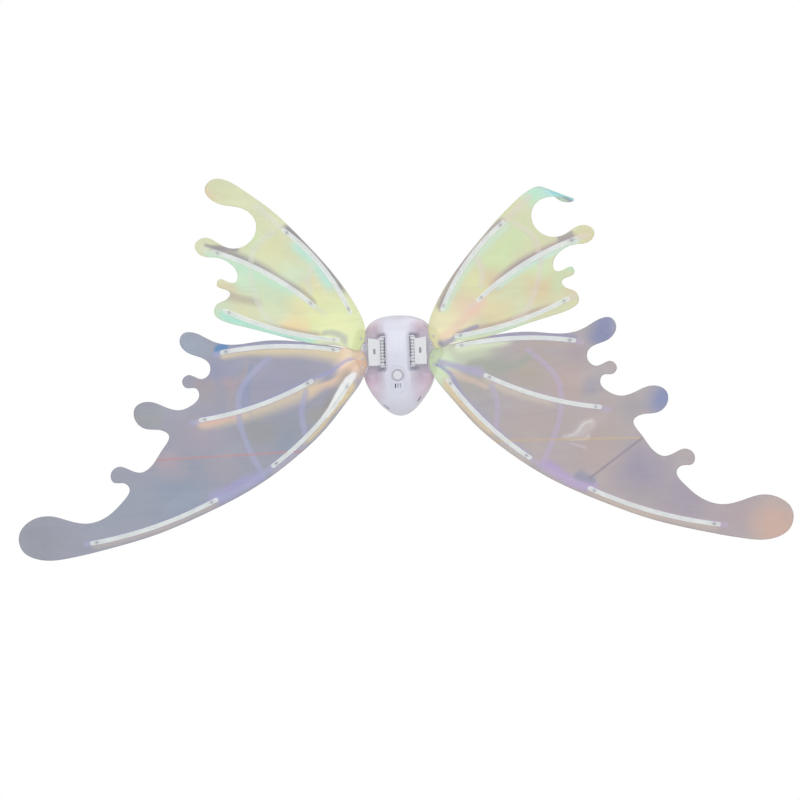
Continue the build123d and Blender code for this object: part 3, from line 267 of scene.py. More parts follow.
# Vent slits near the seam: the rim band they open, and their two ends as angles from +X in degrees.
SEAM_SLIT_BAND = 5
SEAM_SLITS = ((-64.0, -55.0), (-112.5, -104.5))
FELT_MIDDLE = (1.6 * MM, -24.8 * MM)
FELT_HALF = 3.1 * MM
FELT_GAP = 1.25 * MM
FELT_THICK = 0.5 * MM


# ---------------------------------------------------------------- materials
def srgb(red, green, blue):
    """Linear colour from 0-255 display values."""
    linear = []
    for value in (red, green, blue):
        value = value / 255
        linear.append(value / 12.92 if value <= 0.04045 else ((value + 0.055) / 1.055) ** 2.4)
    return (*linear, 1.0)


class Surface:
    """A Principled material with short ways to add nodes to it."""

    def __init__(self, name, **sockets):
        self.material = bpy.data.materials.new(name)
        self.material.use_nodes = True
        self.tree = self.material.node_tree
        self.shader = self.tree.nodes["Principled BSDF"]
        for socket, value in sockets.items():
            self.shader.inputs[socket.replace("_", " ")].default_value = value

    def node(self, kind, **values):
        made = self.tree.nodes.new(kind)
        for key, value in values.items():
            if key in made.inputs:
                made.inputs[key].default_value = value
            else:
                setattr(made, key, value)
        return made

    def link(self, source, target):
        self.tree.links.new(source, target)

    def place(self, stretch=(1, 1, 1), turn=(0, 0, 0)):
        """Object coordinates, stretched and turned."""
        where = self.node("ShaderNodeTexCoord")
        mapping = self.node("ShaderNodeMapping", Scale=stretch, Rotation=turn)
        self.link(where.outputs["Object"], mapping.inputs["Vector"])
        return mapping.outputs["Vector"]

    def noise(self, scale, detail=3.0, roughness=0.5, distortion=0.0, at=None):
        made = self.node("ShaderNodeTexNoise", Scale=scale, Detail=detail, Roughness=roughness,
                         Distortion=distortion)
        self.link(at or self.place(), made.inputs["Vector"])
        return made.outputs["Fac"]

    def ramp(self, factor, stops, smooth=True):
        made = self.node("ShaderNodeValToRGB")
        made.color_ramp.interpolation = "EASE" if smooth else "LINEAR"
        while len(made.color_ramp.elements) < len(stops):
            made.color_ramp.elements.new(0.5)
        for element, (spot, colour) in zip(made.color_ramp.elements, stops):
            element.position = spot
            element.color = colour
        self.link(factor, made.inputs["Fac"])
        return made.outputs["Color"]

    def blend(self, factor, first, second, mode="MIX"):
        made = self.node("ShaderNodeMix", data_type="RGBA", blend_type=mode)
        for socket, value in ((made.inputs["Factor"], factor), (made.inputs[6], first), (made.inputs[7], second)):
            if isinstance(value, (int, float, tuple)):
                socket.default_value = value
            else:
                self.link(value, socket)
        return made.outputs[2]

    def bump(self, height, strength, distance):
        made = self.node("ShaderNodeBump", Strength=strength, Distance=distance)
        self.link(height, made.inputs["Height"])
        self.link(made.outputs["Normal"], self.shader.inputs["Normal"])


def moulded(name, colour, roughness, grain=0.0, shade=0.94):
    """Injection-moulded plastic with faint colour drift and fine surface ripple."""
    made = Surface(name, Roughness=roughness, Coat_Weight=0.35, Coat_Roughness=0.12)
    drift = made.noise(22.0, 4.0)
    dark = tuple(c * shade for c in colour[:3]) + (1.0,)
    made.link(made.ramp(drift, [(0.35, dark), (0.65, colour)]), made.shader.inputs["Base Color"])
    if grain:
        made.bump(made.noise(900.0, 2.0), grain, 0.0002)
    return made.material


def metal(name, colour, roughness):
    made = Surface(name, Metallic=1.0)
    scratch = made.noise(260.0, 4.0, at=made.place((1, 1, 12)))
    low = tuple(c * 0.8 for c in colour[:3]) + (1.0,)
    made.link(made.ramp(scratch, [(0.3, low), (0.7, colour)]), made.shader.inputs["Base Color"])
    grey = [(0.3, (roughness * 0.8,) * 3 + (1,)), (0.7, (min(1, roughness * 1.3),) * 3 + (1,))]
    made.link(made.ramp(scratch, grey), made.shader.inputs["Roughness"])
    return made.material


def clear_plastic(name, colour, alpha, roughness):
    made = Surface(name, Roughness=roughness, Alpha=alpha, IOR=1.5, Coat_Weight=0.6, Coat_Roughness=0.05)
    drift = made.noise(60.0, 3.0)
    low = tuple(c * 0.86 for c in colour[:3]) + (1.0,)
    made.link(made.ramp(drift, [(0.3, low), (0.7, colour)]), made.shader.inputs["Base Color"])
    made.bump(made.noise(420.0, 2.0), 0.25, 0.0002)
    return made.material


def battery_wrap():
    made = Surface("cell_wrap", Roughness=0.3, Coat_Weight=0.4)
    height = made.node("ShaderNodeSeparateXYZ")
    made.link(made.place(), height.inputs[0])
    band = [(0.0, srgb(40, 60, 110)), (0.46, srgb(46, 72, 128)), (0.54, srgb(180, 176, 160)),
            (1.0, srgb(190, 186, 170))]
    span = made.node("ShaderNodeMapRange")
    low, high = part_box("battery_cell_1")
    span.inputs["From Min"].default_value = low.z
    span.inputs["From Max"].default_value = high.z
    made.link(height.outputs["Z"], span.inputs["Value"])
    made.link(made.ramp(span.outputs["Result"], band), made.shader.inputs["Base Color"])
    return made.material


def film_material(side, level):
    """Pearly film: painted interference colours together with painted shade and reflections from the tint
    attribute, with faint drift and fine streaks.
    """
    made = Surface(side + "_" + level + "_film_painted_light_mat", Roughness=0.3, Alpha=FILM_ALPHA, IOR=1.5,
                   Coat_Weight=0.15, Coat_Roughness=0.15)
    made.shader.inputs["Specular IOR Level"].default_value = 0.35
    paint = made.node("ShaderNodeAttribute", attribute_name="tint")
    streak = made.noise(14.0, 4.0, 0.6, 0.8, made.place((1, 1, 5), (0, SIDES[side] * 0.5, 0)))
    wash = made.ramp(streak, [(0.36, (0.93, 0.93, 0.97, 1)), (0.5, (1, 1, 1, 1)), (0.66, (1, 0.985, 0.96, 1))])
    colour = made.blend(0.6, paint.outputs["Color"], wash, "MULTIPLY")
    made.link(colour, made.shader.inputs["Base Color"])
    made.bump(made.noise(38.0, 3.0, 0.55, 0.5), 0.12, 0.002)
    return made.material


def shell_material():
    made = Surface("pod_shell_gloss_painted_light", Roughness=0.2, Coat_Weight=0.5, Coat_Roughness=0.08)
    # The tint attribute carries the painted pink reflections and painted shade of the pod front.
    paint = made.node("ShaderNodeAttribute", attribute_name="tint")
    drift = made.ramp(made.noise(22.0, 4.0), [(0.35, (0.95, 0.95, 0.96, 1)), (0.65, (1, 1, 1, 1))])
    made.link(made.blend(1.0, paint.outputs["Color"], drift, "MULTIPLY"), made.shader.inputs["Base Color"])
    return made.material


def rib_material():
    """Clear light bar: greyish on its flat front, with a painted highlight on its sides and edges and a painted
    emission glow, strongest on the edges, standing in for the light the clear plastic gathers, not for lamps
    inside.
    """
    made = Surface("clear_rib_painted_edge_light", Roughness=0.12, Alpha=0.5, IOR=1.5, Coat_Weight=0.6, Coat_Roughness=0.05)
    where = made.node("ShaderNodeTexCoord")
    facing = made.node("ShaderNodeSeparateXYZ")
    made.link(where.outputs["Normal"], facing.inputs[0])
    turned = made.node("ShaderNodeMath", operation="ABSOLUTE")
    made.link(facing.outputs["Y"], turned.inputs[0])
    drift = made.noise(60.0, 3.0)
    flat = made.ramp(drift, [(0.3, srgb(232, 237, 235)), (0.7, srgb(246, 249, 247))])
    # Painted highlight: sides and edges, where the normal turns away from the front, are painted brighter.
    edge = made.ramp(turned.outputs["Value"], [(0.9, (1, 1, 1, 1)), (0.985, (0, 0, 0, 1))])
    made.link(made.blend(edge, flat, srgb(252, 253, 250)), made.shader.inputs["Base Color"])
    # Painted glow: a faint emission on the flat front and a stronger one on the edges, though the bar is not lit
    # here.
    painted_edge_glow = made.blend(edge, (0.08, 0.09, 0.09, 1.0), (0.3, 0.3, 0.3, 1.0))
    made.link(painted_edge_glow, made.shader.inputs["Emission Color"])
    made.shader.inputs["Emission Strength"].default_value = 1.0
    made.bump(made.noise(420.0, 2.0), 0.2, 0.0002)
    return made.material


def slot_materials():
    white = srgb(236, 236, 244)
    return {"pod_white": moulded("pod_gloss", white, 0.22),
            "button_white": moulded("button_gloss", srgb(238, 238, 246), 0.2),
            "bezel_grey": moulded("bezel_gloss", srgb(206, 204, 218), 0.3),
            "steel": metal("zinc_steel", srgb(170, 172, 176), 0.3),
            "inner_plastic": moulded("inner_matt", srgb(214, 212, 206), 0.5, 0.2),
            "battery_jacket": battery_wrap(),
            "contact_metal": metal("nickel", srgb(206, 202, 190), 0.25),
            "gear_plastic": moulded("acetal", srgb(240, 236, 224), 0.38),
            "pinion_brass": metal("brass_pinion", srgb(196, 160, 92), 0.25),
            "board_green": moulded("solder_mask", srgb(28, 96, 58), 0.35),
            "component_black": moulded("black_mould", srgb(30, 30, 33), 0.45, 0.3),
            "arm_white": moulded("arm_gloss", srgb(238, 239, 242), 0.24),
            "clear_plastic": clear_plastic("clear_mould", srgb(234, 231, 242), 0.5, 0.1),
            "upper_film": clear_plastic("upper_film_plain", srgb(206, 214, 190), 0.8, 0.2),
            "lower_film": clear_plastic("lower_film_plain", srgb(170, 170, 184), 0.8, 0.2),
            "light_strip": moulded("strip_light", srgb(236, 238, 236), 0.3)}


# ---------------------------------------------------------------- helpers for lines and sheets
def smoothstep(low, high, value):
    share = np.clip((value - low) / (high - low), 0, 1)
    return share * share * (3 - 2 * share)


def curve_through(points, step=2.5 * MM):
    """Even points on a smooth curve through the given ones."""
    points = [np.array(p, float) for p in points]
    padded = [2 * points[0] - points[1]] + points + [2 * points[-1] - points[-2]]
    line = []
    for a, b, c, d in zip(padded, padded[1:], padded[2:], padded[3:]):
        count = max(2, int(np.linalg.norm(c - b) / step))
        for k in range(count):
            t = k / count
            line.append(0.5 * (2 * b + (c - a) * t + (2 * a - 5 * b + 4 * c - d) * t ** 2
                               + (3 * b - a - 3 * c + d) * t ** 3))
    line.append(points[-1])
    return np.array(line)


def nearest(points, line):
    """Distance to a line of points, the side (1 left of its direction), and how far along, 0 to 1."""
    best = np.full(len(points), 1e9)
    side = np.ones(len(points))
    share = np.zeros(len(points))
    steps = np.linalg.norm(np.diff(line, axis=0), axis=1)
    travel = np.concatenate([[0], np.cumsum(steps)])
    for k, (a, b) in enumerate(zip(line[:-1], line[1:])):
        along = b - a
        offset = points - a
        t = np.clip((offset @ along) / max(along @ along, 1e-12), 0, 1)
        away = np.linalg.norm(offset - t[:, None] * along, axis=1)
        closer = away < best
        best[closer] = away[closer]
        turn = along[0] * offset[:, 1] - along[1] * offset[:, 0]
        side[closer] = np.where(turn[closer] >= 0, 1.0, -1.0)
        share[closer] = (travel[k] + t[closer] * steps[k]) / travel[-1]
    return best, side, share


def distance_to(points, line):
    return nearest(points, line)[0]


def paint_zones(points, colour, zones, rng=0):
    """Soft round patches of colour, blended one after another."""
    for (out, up), radius, tint, strength in zones:
        away = np.linalg.norm(points - np.array([out, up]) * MM, axis=1)
        weight = strength * (1 - smoothstep(0.1, 1.15, away / (radius * MM)))
        colour = colour + weight[:, None] * (np.array(srgb(*tint)[:3]) - colour)
    return colour


def flat_of(node):
    """A node's vertices as outward and up, whichever side it is on."""
    verts = np.array([v.co for v in NODES[node].data.vertices], float)
    return np.column_stack([np.abs(verts[:, 0]), verts[:, 2]])


def rib_line(node):
    """Centre line of a curved rib, from the widths of slices across it."""
    flat = flat_of(node)
    start = flat[np.argmin(flat[:, 0])]
    end = flat[np.argmax(flat[:, 0])]
    along = (end - start) / np.linalg.norm(end - start)
    across = np.array([-along[1], along[0]])
    reach, rise = (flat - start) @ along, (flat - start) @ across
    cuts = np.linspace(reach.min(), reach.max(), 12)
    line = []
    for low, high in zip(cuts[:-1], cuts[1:]):
        inside = rise[(reach >= low) & (reach <= high)]
        if len(inside) > 3:
            line.append(start + along * (low + high) / 2 + across * (inside.min() + inside.max()) / 2)
    return np.array(line)


def outline_of(node):
    """The film's outer edge as an ordered loop, from the faces of its front."""
    mesh = bmesh.new()
    mesh.from_mesh(NODES[node].data)
    bmesh.ops.remove_doubles(mesh, verts=mesh.verts, dist=1e-6)
    front = {f for f in mesh.faces if f.normal.y < -0.9}
    follow = {}
    for face in front:
        for loop in face.loops:
            edge = loop.edge
            if sum(1 for f in edge.link_faces if f in front) == 1:
                follow[loop.vert.index] = loop.link_loop_next.vert.index
    mesh.verts.ensure_lookup_table()
    loops = []
    while follow:
        first = next(iter(follow))
        ring = []
        spot = first
        while spot in follow:
            ring.append(spot)
            spot = follow.pop(spot)
        loops.append([(abs(mesh.verts[i].co.x), mesh.verts[i].co.z) for i in ring])
    mesh.free()
    ring = np.array(max(loops, key=len))
    closed = np.vstack([ring, ring[:1]])
    steps = np.linalg.norm(np.diff(closed, axis=0), axis=1)
    travel = np.concatenate([[0], np.cumsum(steps)])
    count = int(travel[-1] / MESH_STEP)
    spots = np.linspace(0, travel[-1], count, endpoint=False)
    return np.column_stack([np.interp(spots, travel, closed[:, k]) for k in (0, 1)])


def inside_of(points, ring):
    x, y = points[:, 0][:, None], points[:, 1][:, None]
    x0, y0 = ring[:, 0], ring[:, 1]
    x1, y1 = np.roll(x0, -1), np.roll(y0, -1)
    crossing = ((y0 > y) != (y1 > y)) & (x < (x1 - x0) * (y - y0) / (y1 - y0 + 1e-12) + x0)
    return crossing.sum(1) % 2 == 1


def fill_outline(ring, lines=(), step=MESH_STEP):
    """Triangles that fill an outline with an even spread of points, keeping inner lines as edges."""
    low, high = ring.min(0), ring.max(0)
    grid = []
    for k, z in enumerate(np.arange(low[1], high[1], step * 0.866)):
        xs = np.arange(low[0] + (k % 2) * step / 2, high[0], step)
        grid.append(np.column_stack([xs, np.full(len(xs), z)]))
    grid = np.vstack(grid)
    kept = grid[inside_of(grid, ring)]
    edges = [(i, (i + 1) % len(ring)) for i in range(len(ring))]
    fixed = [ring]
    for line in [np.vstack([ring, ring[:1]]), *lines]:
        kept = kept[nearest(kept, line)[0] > step * 0.55]
    for line in lines:
        first = sum(len(part) for part in fixed)
        closed = np.allclose(line[0], line[-1])
        part = line[:-1] if closed else line
        edges += [(first + i, first + i + 1) for i in range(len(part) - 1)]
        if closed:
            edges.append((first + len(part) - 1, first))
        fixed.append(part)
    points = [Vector(p) for p in np.vstack([*fixed, kept])]
    verts, _, faces, _, _, _ = geometry.delaunay_2d_cdt(points, edges, [], 1, 1e-7)
    return np.array([(v.x, v.y) for v in verts]), [tuple(f) for f in faces]


def waves(points, seed, length, count=7):
    """Smooth random height from a few sine waves, about -1 to 1."""
    random = np.random.default_rng(seed)
    total = np.zeros(len(points))
    for _ in range(count):
        angle = random.uniform(0, math.pi)
        pace = 2 * math.pi / (length * random.uniform(0.7, 1.6))
        ray = np.array([math.cos(angle), math.sin(angle)]) * pace
        total += np.sin(points @ ray + random.uniform(0, 2 * math.pi))
    return total / math.sqrt(count) / 1.2


class Film:
    """One wing film: its outline, its ribs and veins, and how far it stands off its flat plane."""

    def __init__(self, side, level):
        self.side, self.level = side, level
        self.node = side + "_" + level + "_film"
        low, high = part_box(self.node)
        self.plane = (low.y + high.y) / 2
        self.front = low.y
        self.ribs = {n[len(side) + 1:-4]: rib_line(n) for n in NODES
                     if n.startswith(side + "_" + level) and n.endswith("_rib")}
        self.veins = []
        for parts in VEINS[level]:
            line = []
            for part in parts:
                if isinstance(part, str):
                    line.extend([tuple(p) for p in self.ribs[part][::2]])
                else:
                    line.append((part[0] * MM, part[1] * MM))
            self.veins.append(curve_through(sorted(line, key=lambda p: p[0])))
        for arc in VEIN_ARCS[level]:
            self.veins.append(curve_through([(x * MM, z * MM) for x, z in arc]))
        self.seed = {"right": 11, "left": 29}[side] + {"upper": 0, "lower": 5}[level]

    def lift(self, points):
        """Height of the film in front of its plane."""
        rib_away = np.min([distance_to(points, line) for line in self.ribs.values()], axis=0)
        root = np.linalg.norm(points - np.array(ROOT_PLACE), axis=1)
        free = smoothstep(RIB_FLAT, RIB_FREE, rib_away) * smoothstep(ROOT_FLAT, ROOT_FREE, root)
        height = BILLOW * free * waves(points, self.seed, 0.11)
        far = smoothstep(0.02, 0.07, rib_away) * smoothstep(ROOT_FREE, 0.2, root)
        height += 4.5 * MM * far * waves(points, self.seed + 1, 0.16)
        height += 0.5 * MM * free * waves(points, self.seed + 2, 0.03)
        height += VEIN_LIFT * self.vein_mask(points) * free
        for start, end, fold, _ in CREASES[(self.side, self.level)]:
            line = np.array([start, end], float) * MM
            away = distance_to(points, line)
            height += fold * MM * np.exp(-away / CREASE_REACH) * free
        return height

    def vein_mask(self, points):
        """The welded bands, which fade out towards the root."""
        away = np.min([distance_to(points, line) for line in self.veins], axis=0)
        root = np.linalg.norm(points - np.array(ROOT_PLACE), axis=1)
        band = 1 - smoothstep(VEIN_WIDTH / 2 - VEIN_SOFT, VEIN_WIDTH / 2 + VEIN_SOFT / 2, away)
        return band * smoothstep(*VEIN_START, root)

    def colours(self, points):
        """Paint for each film point: tint zones, streaks of painted shade and reflection beside the ribs, veins,
        painted shade and sheen along crease lines, and painted white where the film gapes.
        """
        key = (self.side, self.level)
        drift = np.column_stack([waves(points, self.seed + 3, 0.05), waves(points, self.seed + 4, 0.05)])
        moved = points + TINT_WOBBLE * drift
        colour = np.tile(np.array(srgb(*FILM_BASE[key])[:3]), (len(points), 1))
        colour = paint_zones(moved, colour, FILM_ZONES[key])
        shaken = points + 0.25 * TINT_WOBBLE * drift
        # Painted shade above the ribs, and painted reflection below them and along folds and crinkles, with some
        # interference tint.
        for line, which, widths, span, tint, strength in FILM_SHADE_SHEEN_TINT_STREAKS[key]:
            along = self.ribs[line] if isinstance(line, str) else curve_through([(x * MM, z * MM) for x, z in line])
            away, side, share = nearest(shaken if isinstance(line, str) else moved, along)
            edge = RIB_HALF * 0.8 if isinstance(line, str) else 0.0
            width = (widths[0] + (widths[1] - widths[0]) * share) * MM
            weight = 1 - smoothstep(0.15, 1.0, (away - edge) / width)
            if which:
                weight = weight * smoothstep(-0.6, 1.0, side * which * away / RIB_HALF)
            low, high = span
            fade = smoothstep(low - 0.001, low + 0.14, share) if low > 0 else 1.0
            weight = weight * fade * (1 - smoothstep(high - 0.14, high + 0.001, share) if high < 1 else 1.0)
            colour = colour + (strength * weight)[:, None] * (np.array(srgb(*tint)[:3]) - colour)
        tint, strength = VEIN_COLOURS[key]
        weight = strength * self.vein_mask(points)
        colour = colour + weight[:, None] * (np.array(srgb(*tint)[:3]) - colour)
        # Painted shade and sheen along each crease line.
        for start, end, _, tint in CREASES[key]:
            away = distance_to(points, np.array([start, end], float) * MM)
            weight = 0.7 * (1 - smoothstep(0.4 * MM, 1.8 * MM, away))
            colour = colour + weight[:, None] * (np.array(srgb(*tint)[:3]) - colour)
        # Painted white where the film gapes and the backdrop shows through.
        for gap in FILM_GAP_PAINTED_WHITE.get(key, []):
            ring = np.array(gap) * MM
            away = distance_to(points, np.vstack([ring, ring[:1]]))
            weight = np.where(inside_of(points, ring), 1.0, 1 - smoothstep(0.0, GAP_SOFT, away))
            colour = colour + weight[:, None] * (1.0 - colour)
        return np.clip((colour - FILM_CLEAR) / FILM_GAIN, 0.01, 1.0)

    def place(self, points, height):
        """Row-frame places of film points, with the lobes curled."""
        spots = np.column_stack([points[:, 0], self.plane - height, points[:, 1]])
        for start, end, turn in CURLS[(self.side, self.level)]:
            start, end = np.array(start, float) * MM, np.array(end, float) * MM
            along = (end - start) / np.linalg.norm(end - start)
            offset = spots[:, [0, 2]] - start
            reach = offset @ along
            aside = offset @ np.array([-along[1], along[0]])
            near = 1 - smoothstep(*CURL_REACH, np.abs(aside))
            angle = np.radians(turn) * near * smoothstep(0, 0.8 * np.linalg.norm(end - start), reach)
            depth = spots[:, 1] - self.plane
            shift = aside * (np.cos(angle) - 1) + depth * np.sin(angle)
            spots[:, 0] += -along[1] * shift
            spots[:, 2] += along[0] * shift
            spots[:, 1] = self.plane - aside * np.sin(angle) + depth * np.cos(angle)
        for start, along, radius in ROLLS.get((self.side, self.level), []):
            offset = spots[:, [0, 2]] - np.array(start) * MM
            aside = offset @ np.array([-along[1], along[0]])
            radius = radius * MM
            angle = np.where((aside > 0) & (offset @ np.array(along) < ROLL_LIMIT), aside / radius, 0.0)
            shift = radius * (np.sin(angle) - angle)
            spots[:, 0] += -along[1] * shift
            spots[:, 2] += along[0] * shift
            spots[:, 1] += ROLL_FLATNESS * radius * (1 - np.cos(angle))
        spots[:, 0] *= SIDES[self.side]
        return spots


def new_piece(name, spots, faces, material, body, smooth=True, flip=False):
    mesh = bpy.data.meshes.new(name)
    if flip:
        faces = [tuple(reversed(f)) for f in faces]
    mesh.from_pydata([tuple(p) for p in spots], [], faces)
    mesh.validate()
    if smooth:
        mesh.polygons.foreach_set("use_smooth", [True] * len(mesh.polygons))
    piece = bpy.data.objects.new(name, mesh)
    bpy.context.scene.collection.objects.link(piece)
    mesh.materials.append(material)
    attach(piece, body)
    return piece


def add_modifier(piece, kind, **values):
    made = piece.modifiers.new(kind.lower(), kind)
    for key, value in values.items():
        setattr(made, key, value)
    return made


def paint_points(piece, colour):
    # The tint attribute holds each sheet's colour together with its painted shade, reflections and highlights.
    tint = piece.data.attributes.new("tint", "FLOAT_COLOR", "POINT")
    tint.data.foreach_set("color", np.column_stack([colour, np.ones(len(colour))]).ravel())


# ---------------------------------------------------------------- wings
def film_sheet(film):
    points, faces = fill_outline(outline_of(film.node))
    spots = film.place(points, film.lift(points))
    piece = new_piece(film.side + "_" + film.level + "_film_sheet", spots, faces,
                      film_material(film.side, film.level), film.side + "_wing", flip=film.side == "left")
    paint_points(piece, film.colours(points))
    add_modifier(piece, "SOLIDIFY", thickness=FILM_THICKNESS, offset=0.0)
    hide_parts(film.node)
    size = points.max(0) - points.min(0)
    corners = points[np.array(faces)]
    one, two = corners[:, 1] - corners[:, 0], corners[:, 2] - corners[:, 0]
    area = float(np.abs(one[:, 0] * two[:, 1] - one[:, 1] * two[:, 0]).sum() / 2)
    return piece, size, area


def build_wings():
    for side in SIDES:
        for level in ("upper", "lower"):
            film = Film(side, level)
            sheet, size, area = film_sheet(film)


# ---------------------------------------------------------------- pod front
class PodFront:
    """Height field of the pod's front: an egg-shaped dome with soft scoops for both wing roots."""

    def __init__(self):
        verts = np.array([v.co for v in NODES["front_shell"].data.vertices], float)
        seam = verts[np.abs(verts[:, 1] - SEAM_Y) < 0.05 * MM][:, [0, 2]]
        angles = np.arctan2(seam[:, 1], seam[:, 0])
        reach = np.linalg.norm(seam, axis=1)
        outer = {}
        for angle, far in zip(np.round(angles, 2), reach):
            outer[angle] = max(outer.get(angle, 0), far)
        spots = np.array(sorted(outer))
        far = np.array([outer[a] for a in spots])
        smooth = [far[np.abs(spots - a) < 0.07].max() for a in spots]
        keep = far > np.array(smooth) - 0.0006
        self.angles, self.reach = spots[keep], far[keep]

    def edge(self, angle):
        return np.interp(angle, self.angles, self.reach, period=2 * math.pi)

    def ring(self, step, count=RIM_POINTS):
        """Points of the dome's outline at a share of its height."""
        size = (1 - step ** DOME_POWERS[0]) ** DOME_POWERS[1]
        angle = np.linspace(-math.pi, math.pi, count, endpoint=False)
        far = self.edge(angle) * size
        return np.column_stack([far * np.cos(angle), far * np.sin(angle)])

    def dome(self, points):
        share = np.linalg.norm(points, axis=1) / self.edge(np.arctan2(points[:, 1], points[:, 0]))
        share = np.clip(share, 0, 1)
        step = np.clip(1 - share ** (1 / DOME_POWERS[1]), 0, 1) ** (1 / DOME_POWERS[0])
        return -SEAM_Y + DOME_HEIGHT * step

    def depth(self, points):
        """How far each point of the front stands off the pod's flat back."""
        out, up = np.abs(points[:, 0]), points[:, 1]
        dome = self.dome(points)
        soft = 1 - smoothstep(*SCOOP_SOFT[0], up) + smoothstep(*SCOOP_SOFT[1], up)
        wall = np.clip((out - BAND_WALL + BAND_ROUND) / BAND_ROUND, 0, 1)
        hard_cut = 1 - np.sqrt(1 - wall ** 2)
        soft_cut = smoothstep(*SCOOP_EDGE, out)
        cut = hard_cut + (soft_cut - hard_cut) * soft
        cut = cut * smoothstep(*SCOOP_LOW, up) * (1 - smoothstep(*SCOOP_HIGH, up))
        foot, inner, outer = CRADLE
        floor = DECK + (foot - DECK) * (1 - smoothstep(inner, outer, out)) * (1 - soft)
        depth = dome - cut * np.clip(dome - floor, 0, 1)
        recess = stadium(points, RECESS_MIDDLE) - RECESS_HALF
        depth = depth - RECESS_STEP * (1 - smoothstep(-0.9 * MM, 0.1 * MM, recess))
        pad = stadium(points, PAD_MIDDLE) - PAD_HALF
        return depth + PAD_RISE * (1 - smoothstep(-0.9 * MM, 0.1 * MM, pad))

    def colours(self, points):
        colour = np.tile(np.array(srgb(*POD_BASE)[:3]), (len(points), 1))
        mirrored = np.column_stack([np.abs(points[:, 0]), points[:, 1]])
        # Painted pink film reflections on the sides and painted shade towards the bottom and top rim.
        colour = paint_zones(mirrored, colour, POD_REFLECTION_AND_SHADE_ZONES)
        return colour


def stadium(points, middle):
    """Distance from an upright middle line."""
    up = np.clip(points[:, 1], *middle)
    return np.hypot(points[:, 0], points[:, 1] - up)


def oval(centre_x, middle, half, step=0.7 * MM):
    """Closed line around an upright middle line."""
    count = max(6, int(math.pi * half / step / 2))
    turn = np.linspace(0, math.pi, count)
    top = np.column_stack([half * np.cos(turn), middle[1] + half * np.sin(turn)])
    bottom = np.column_stack([-half * np.cos(turn), middle[0] - half * np.sin(turn)])
    loop = np.vstack([top, bottom, top[:1]])
    spots = [loop[0]]
    for a, b in zip(loop[:-1], loop[1:]):
        count = max(1, int(np.linalg.norm(b - a) / step))
        spots += [a + (b - a) * k / count for k in range(1, count + 1)]
    spots = np.array(spots)
    spots[:, 0] += centre_x
    keep = np.concatenate([[True], np.linalg.norm(np.diff(spots, axis=0), axis=1) > 1e-6])
    spots = spots[keep]
    spots[-1] = spots[0]
    return spots


def build_pod_front():
    front = PodFront()
    rings = [front.ring(step) for step in RIM_STEPS]
    middle = BUTTON_HOLE[0][1]
    holes = [oval(0.0, (middle, middle + 1e-5), BUTTON_HOLE[1])]
    holes += [oval(x, SOUND_SLOT[:2], SOUND_SLOT[2], 0.4 * MM) for x in SOUND_SLOTS]
    lines = list(holes)
    for side in (1, -1):
        for out in (BAND_WALL, BAND_WALL - 0.35 * MM, BAND_WALL - 1.4 * MM):
            ups = np.arange(-4.0 * MM, 38.0 * MM, 0.8 * MM)
            lines.append(np.column_stack([np.full(len(ups), side * out), ups]))
    points, faces = fill_outline(rings[-1], lines, POD_STEP)
    centres = points[np.array(faces)].mean(1)
    open_faces = np.zeros(len(faces), bool)
    for hole in holes:
        open_faces |= inside_of(centres, hole[:-1])
    faces = [f for f, is_open in zip(faces, open_faces) if not is_open]
    count = len(points)
    everything = np.vstack([points] + rings[:-1])
    for k in range(len(rings) - 1):
        inner = 0 if k == len(rings) - 2 else count + (k + 1) * RIM_POINTS
        outer = count + k * RIM_POINTS
        for i in range(RIM_POINTS):
            j = (i + 1) % RIM_POINTS
            turn = (i + 0.5) * 360 / RIM_POINTS - 180
            if k != SEAM_SLIT_BAND or not any(low < turn < high for low, high in SEAM_SLITS):
                faces.append((outer + i, outer + j, inner + j, inner + i))
    depth = front.depth(everything)
    spots = np.column_stack([everything[:, 0], -depth, everything[:, 1]])
    piece = new_piece("pod_front_shell", spots, faces, shell_material(), "pod")
    paint_points(piece, front.colours(everything))
    add_modifier(piece, "SOLIDIFY", thickness=SHELL_WALL, offset=-1.0)
    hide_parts("front_shell")
    build_felt(front)
    build_ears()


def build_felt(front):
    """Pale dust pad behind two of the three sound slots."""
    turn = np.linspace(0, 2 * math.pi, 25)[:-1]
    rim = np.column_stack([FELT_MIDDLE[0] + FELT_HALF * np.cos(turn), FELT_MIDDLE[1] + FELT_HALF * np.sin(turn)])
    depth = front.depth(np.array([FELT_MIDDLE]))[0] - FELT_GAP
    spots = [(x, -depth, z) for x, z in rim] + [(x, FELT_THICK - depth, z) for x, z in rim]
    count = len(rim)
    faces = [tuple(range(count)), tuple(range(2 * count - 1, count - 1, -1))]
    faces += [(i, count + i, count + (i + 1) % count, (i + 1) % count) for i in range(count)]
    felt = new_piece("sound_felt", spots, faces, moulded("pale_felt", srgb(214, 212, 226), 0.9, 0.4), "pod", False)
    mesh = bmesh.new()
    mesh.from_mesh(felt.data)
    bmesh.ops.recalc_face_normals(mesh, faces=mesh.faces)
    mesh.to_mesh(felt.data)
    mesh.free()
    add_modifier(felt, "BEVEL", width=0.12 * MM, segments=2)


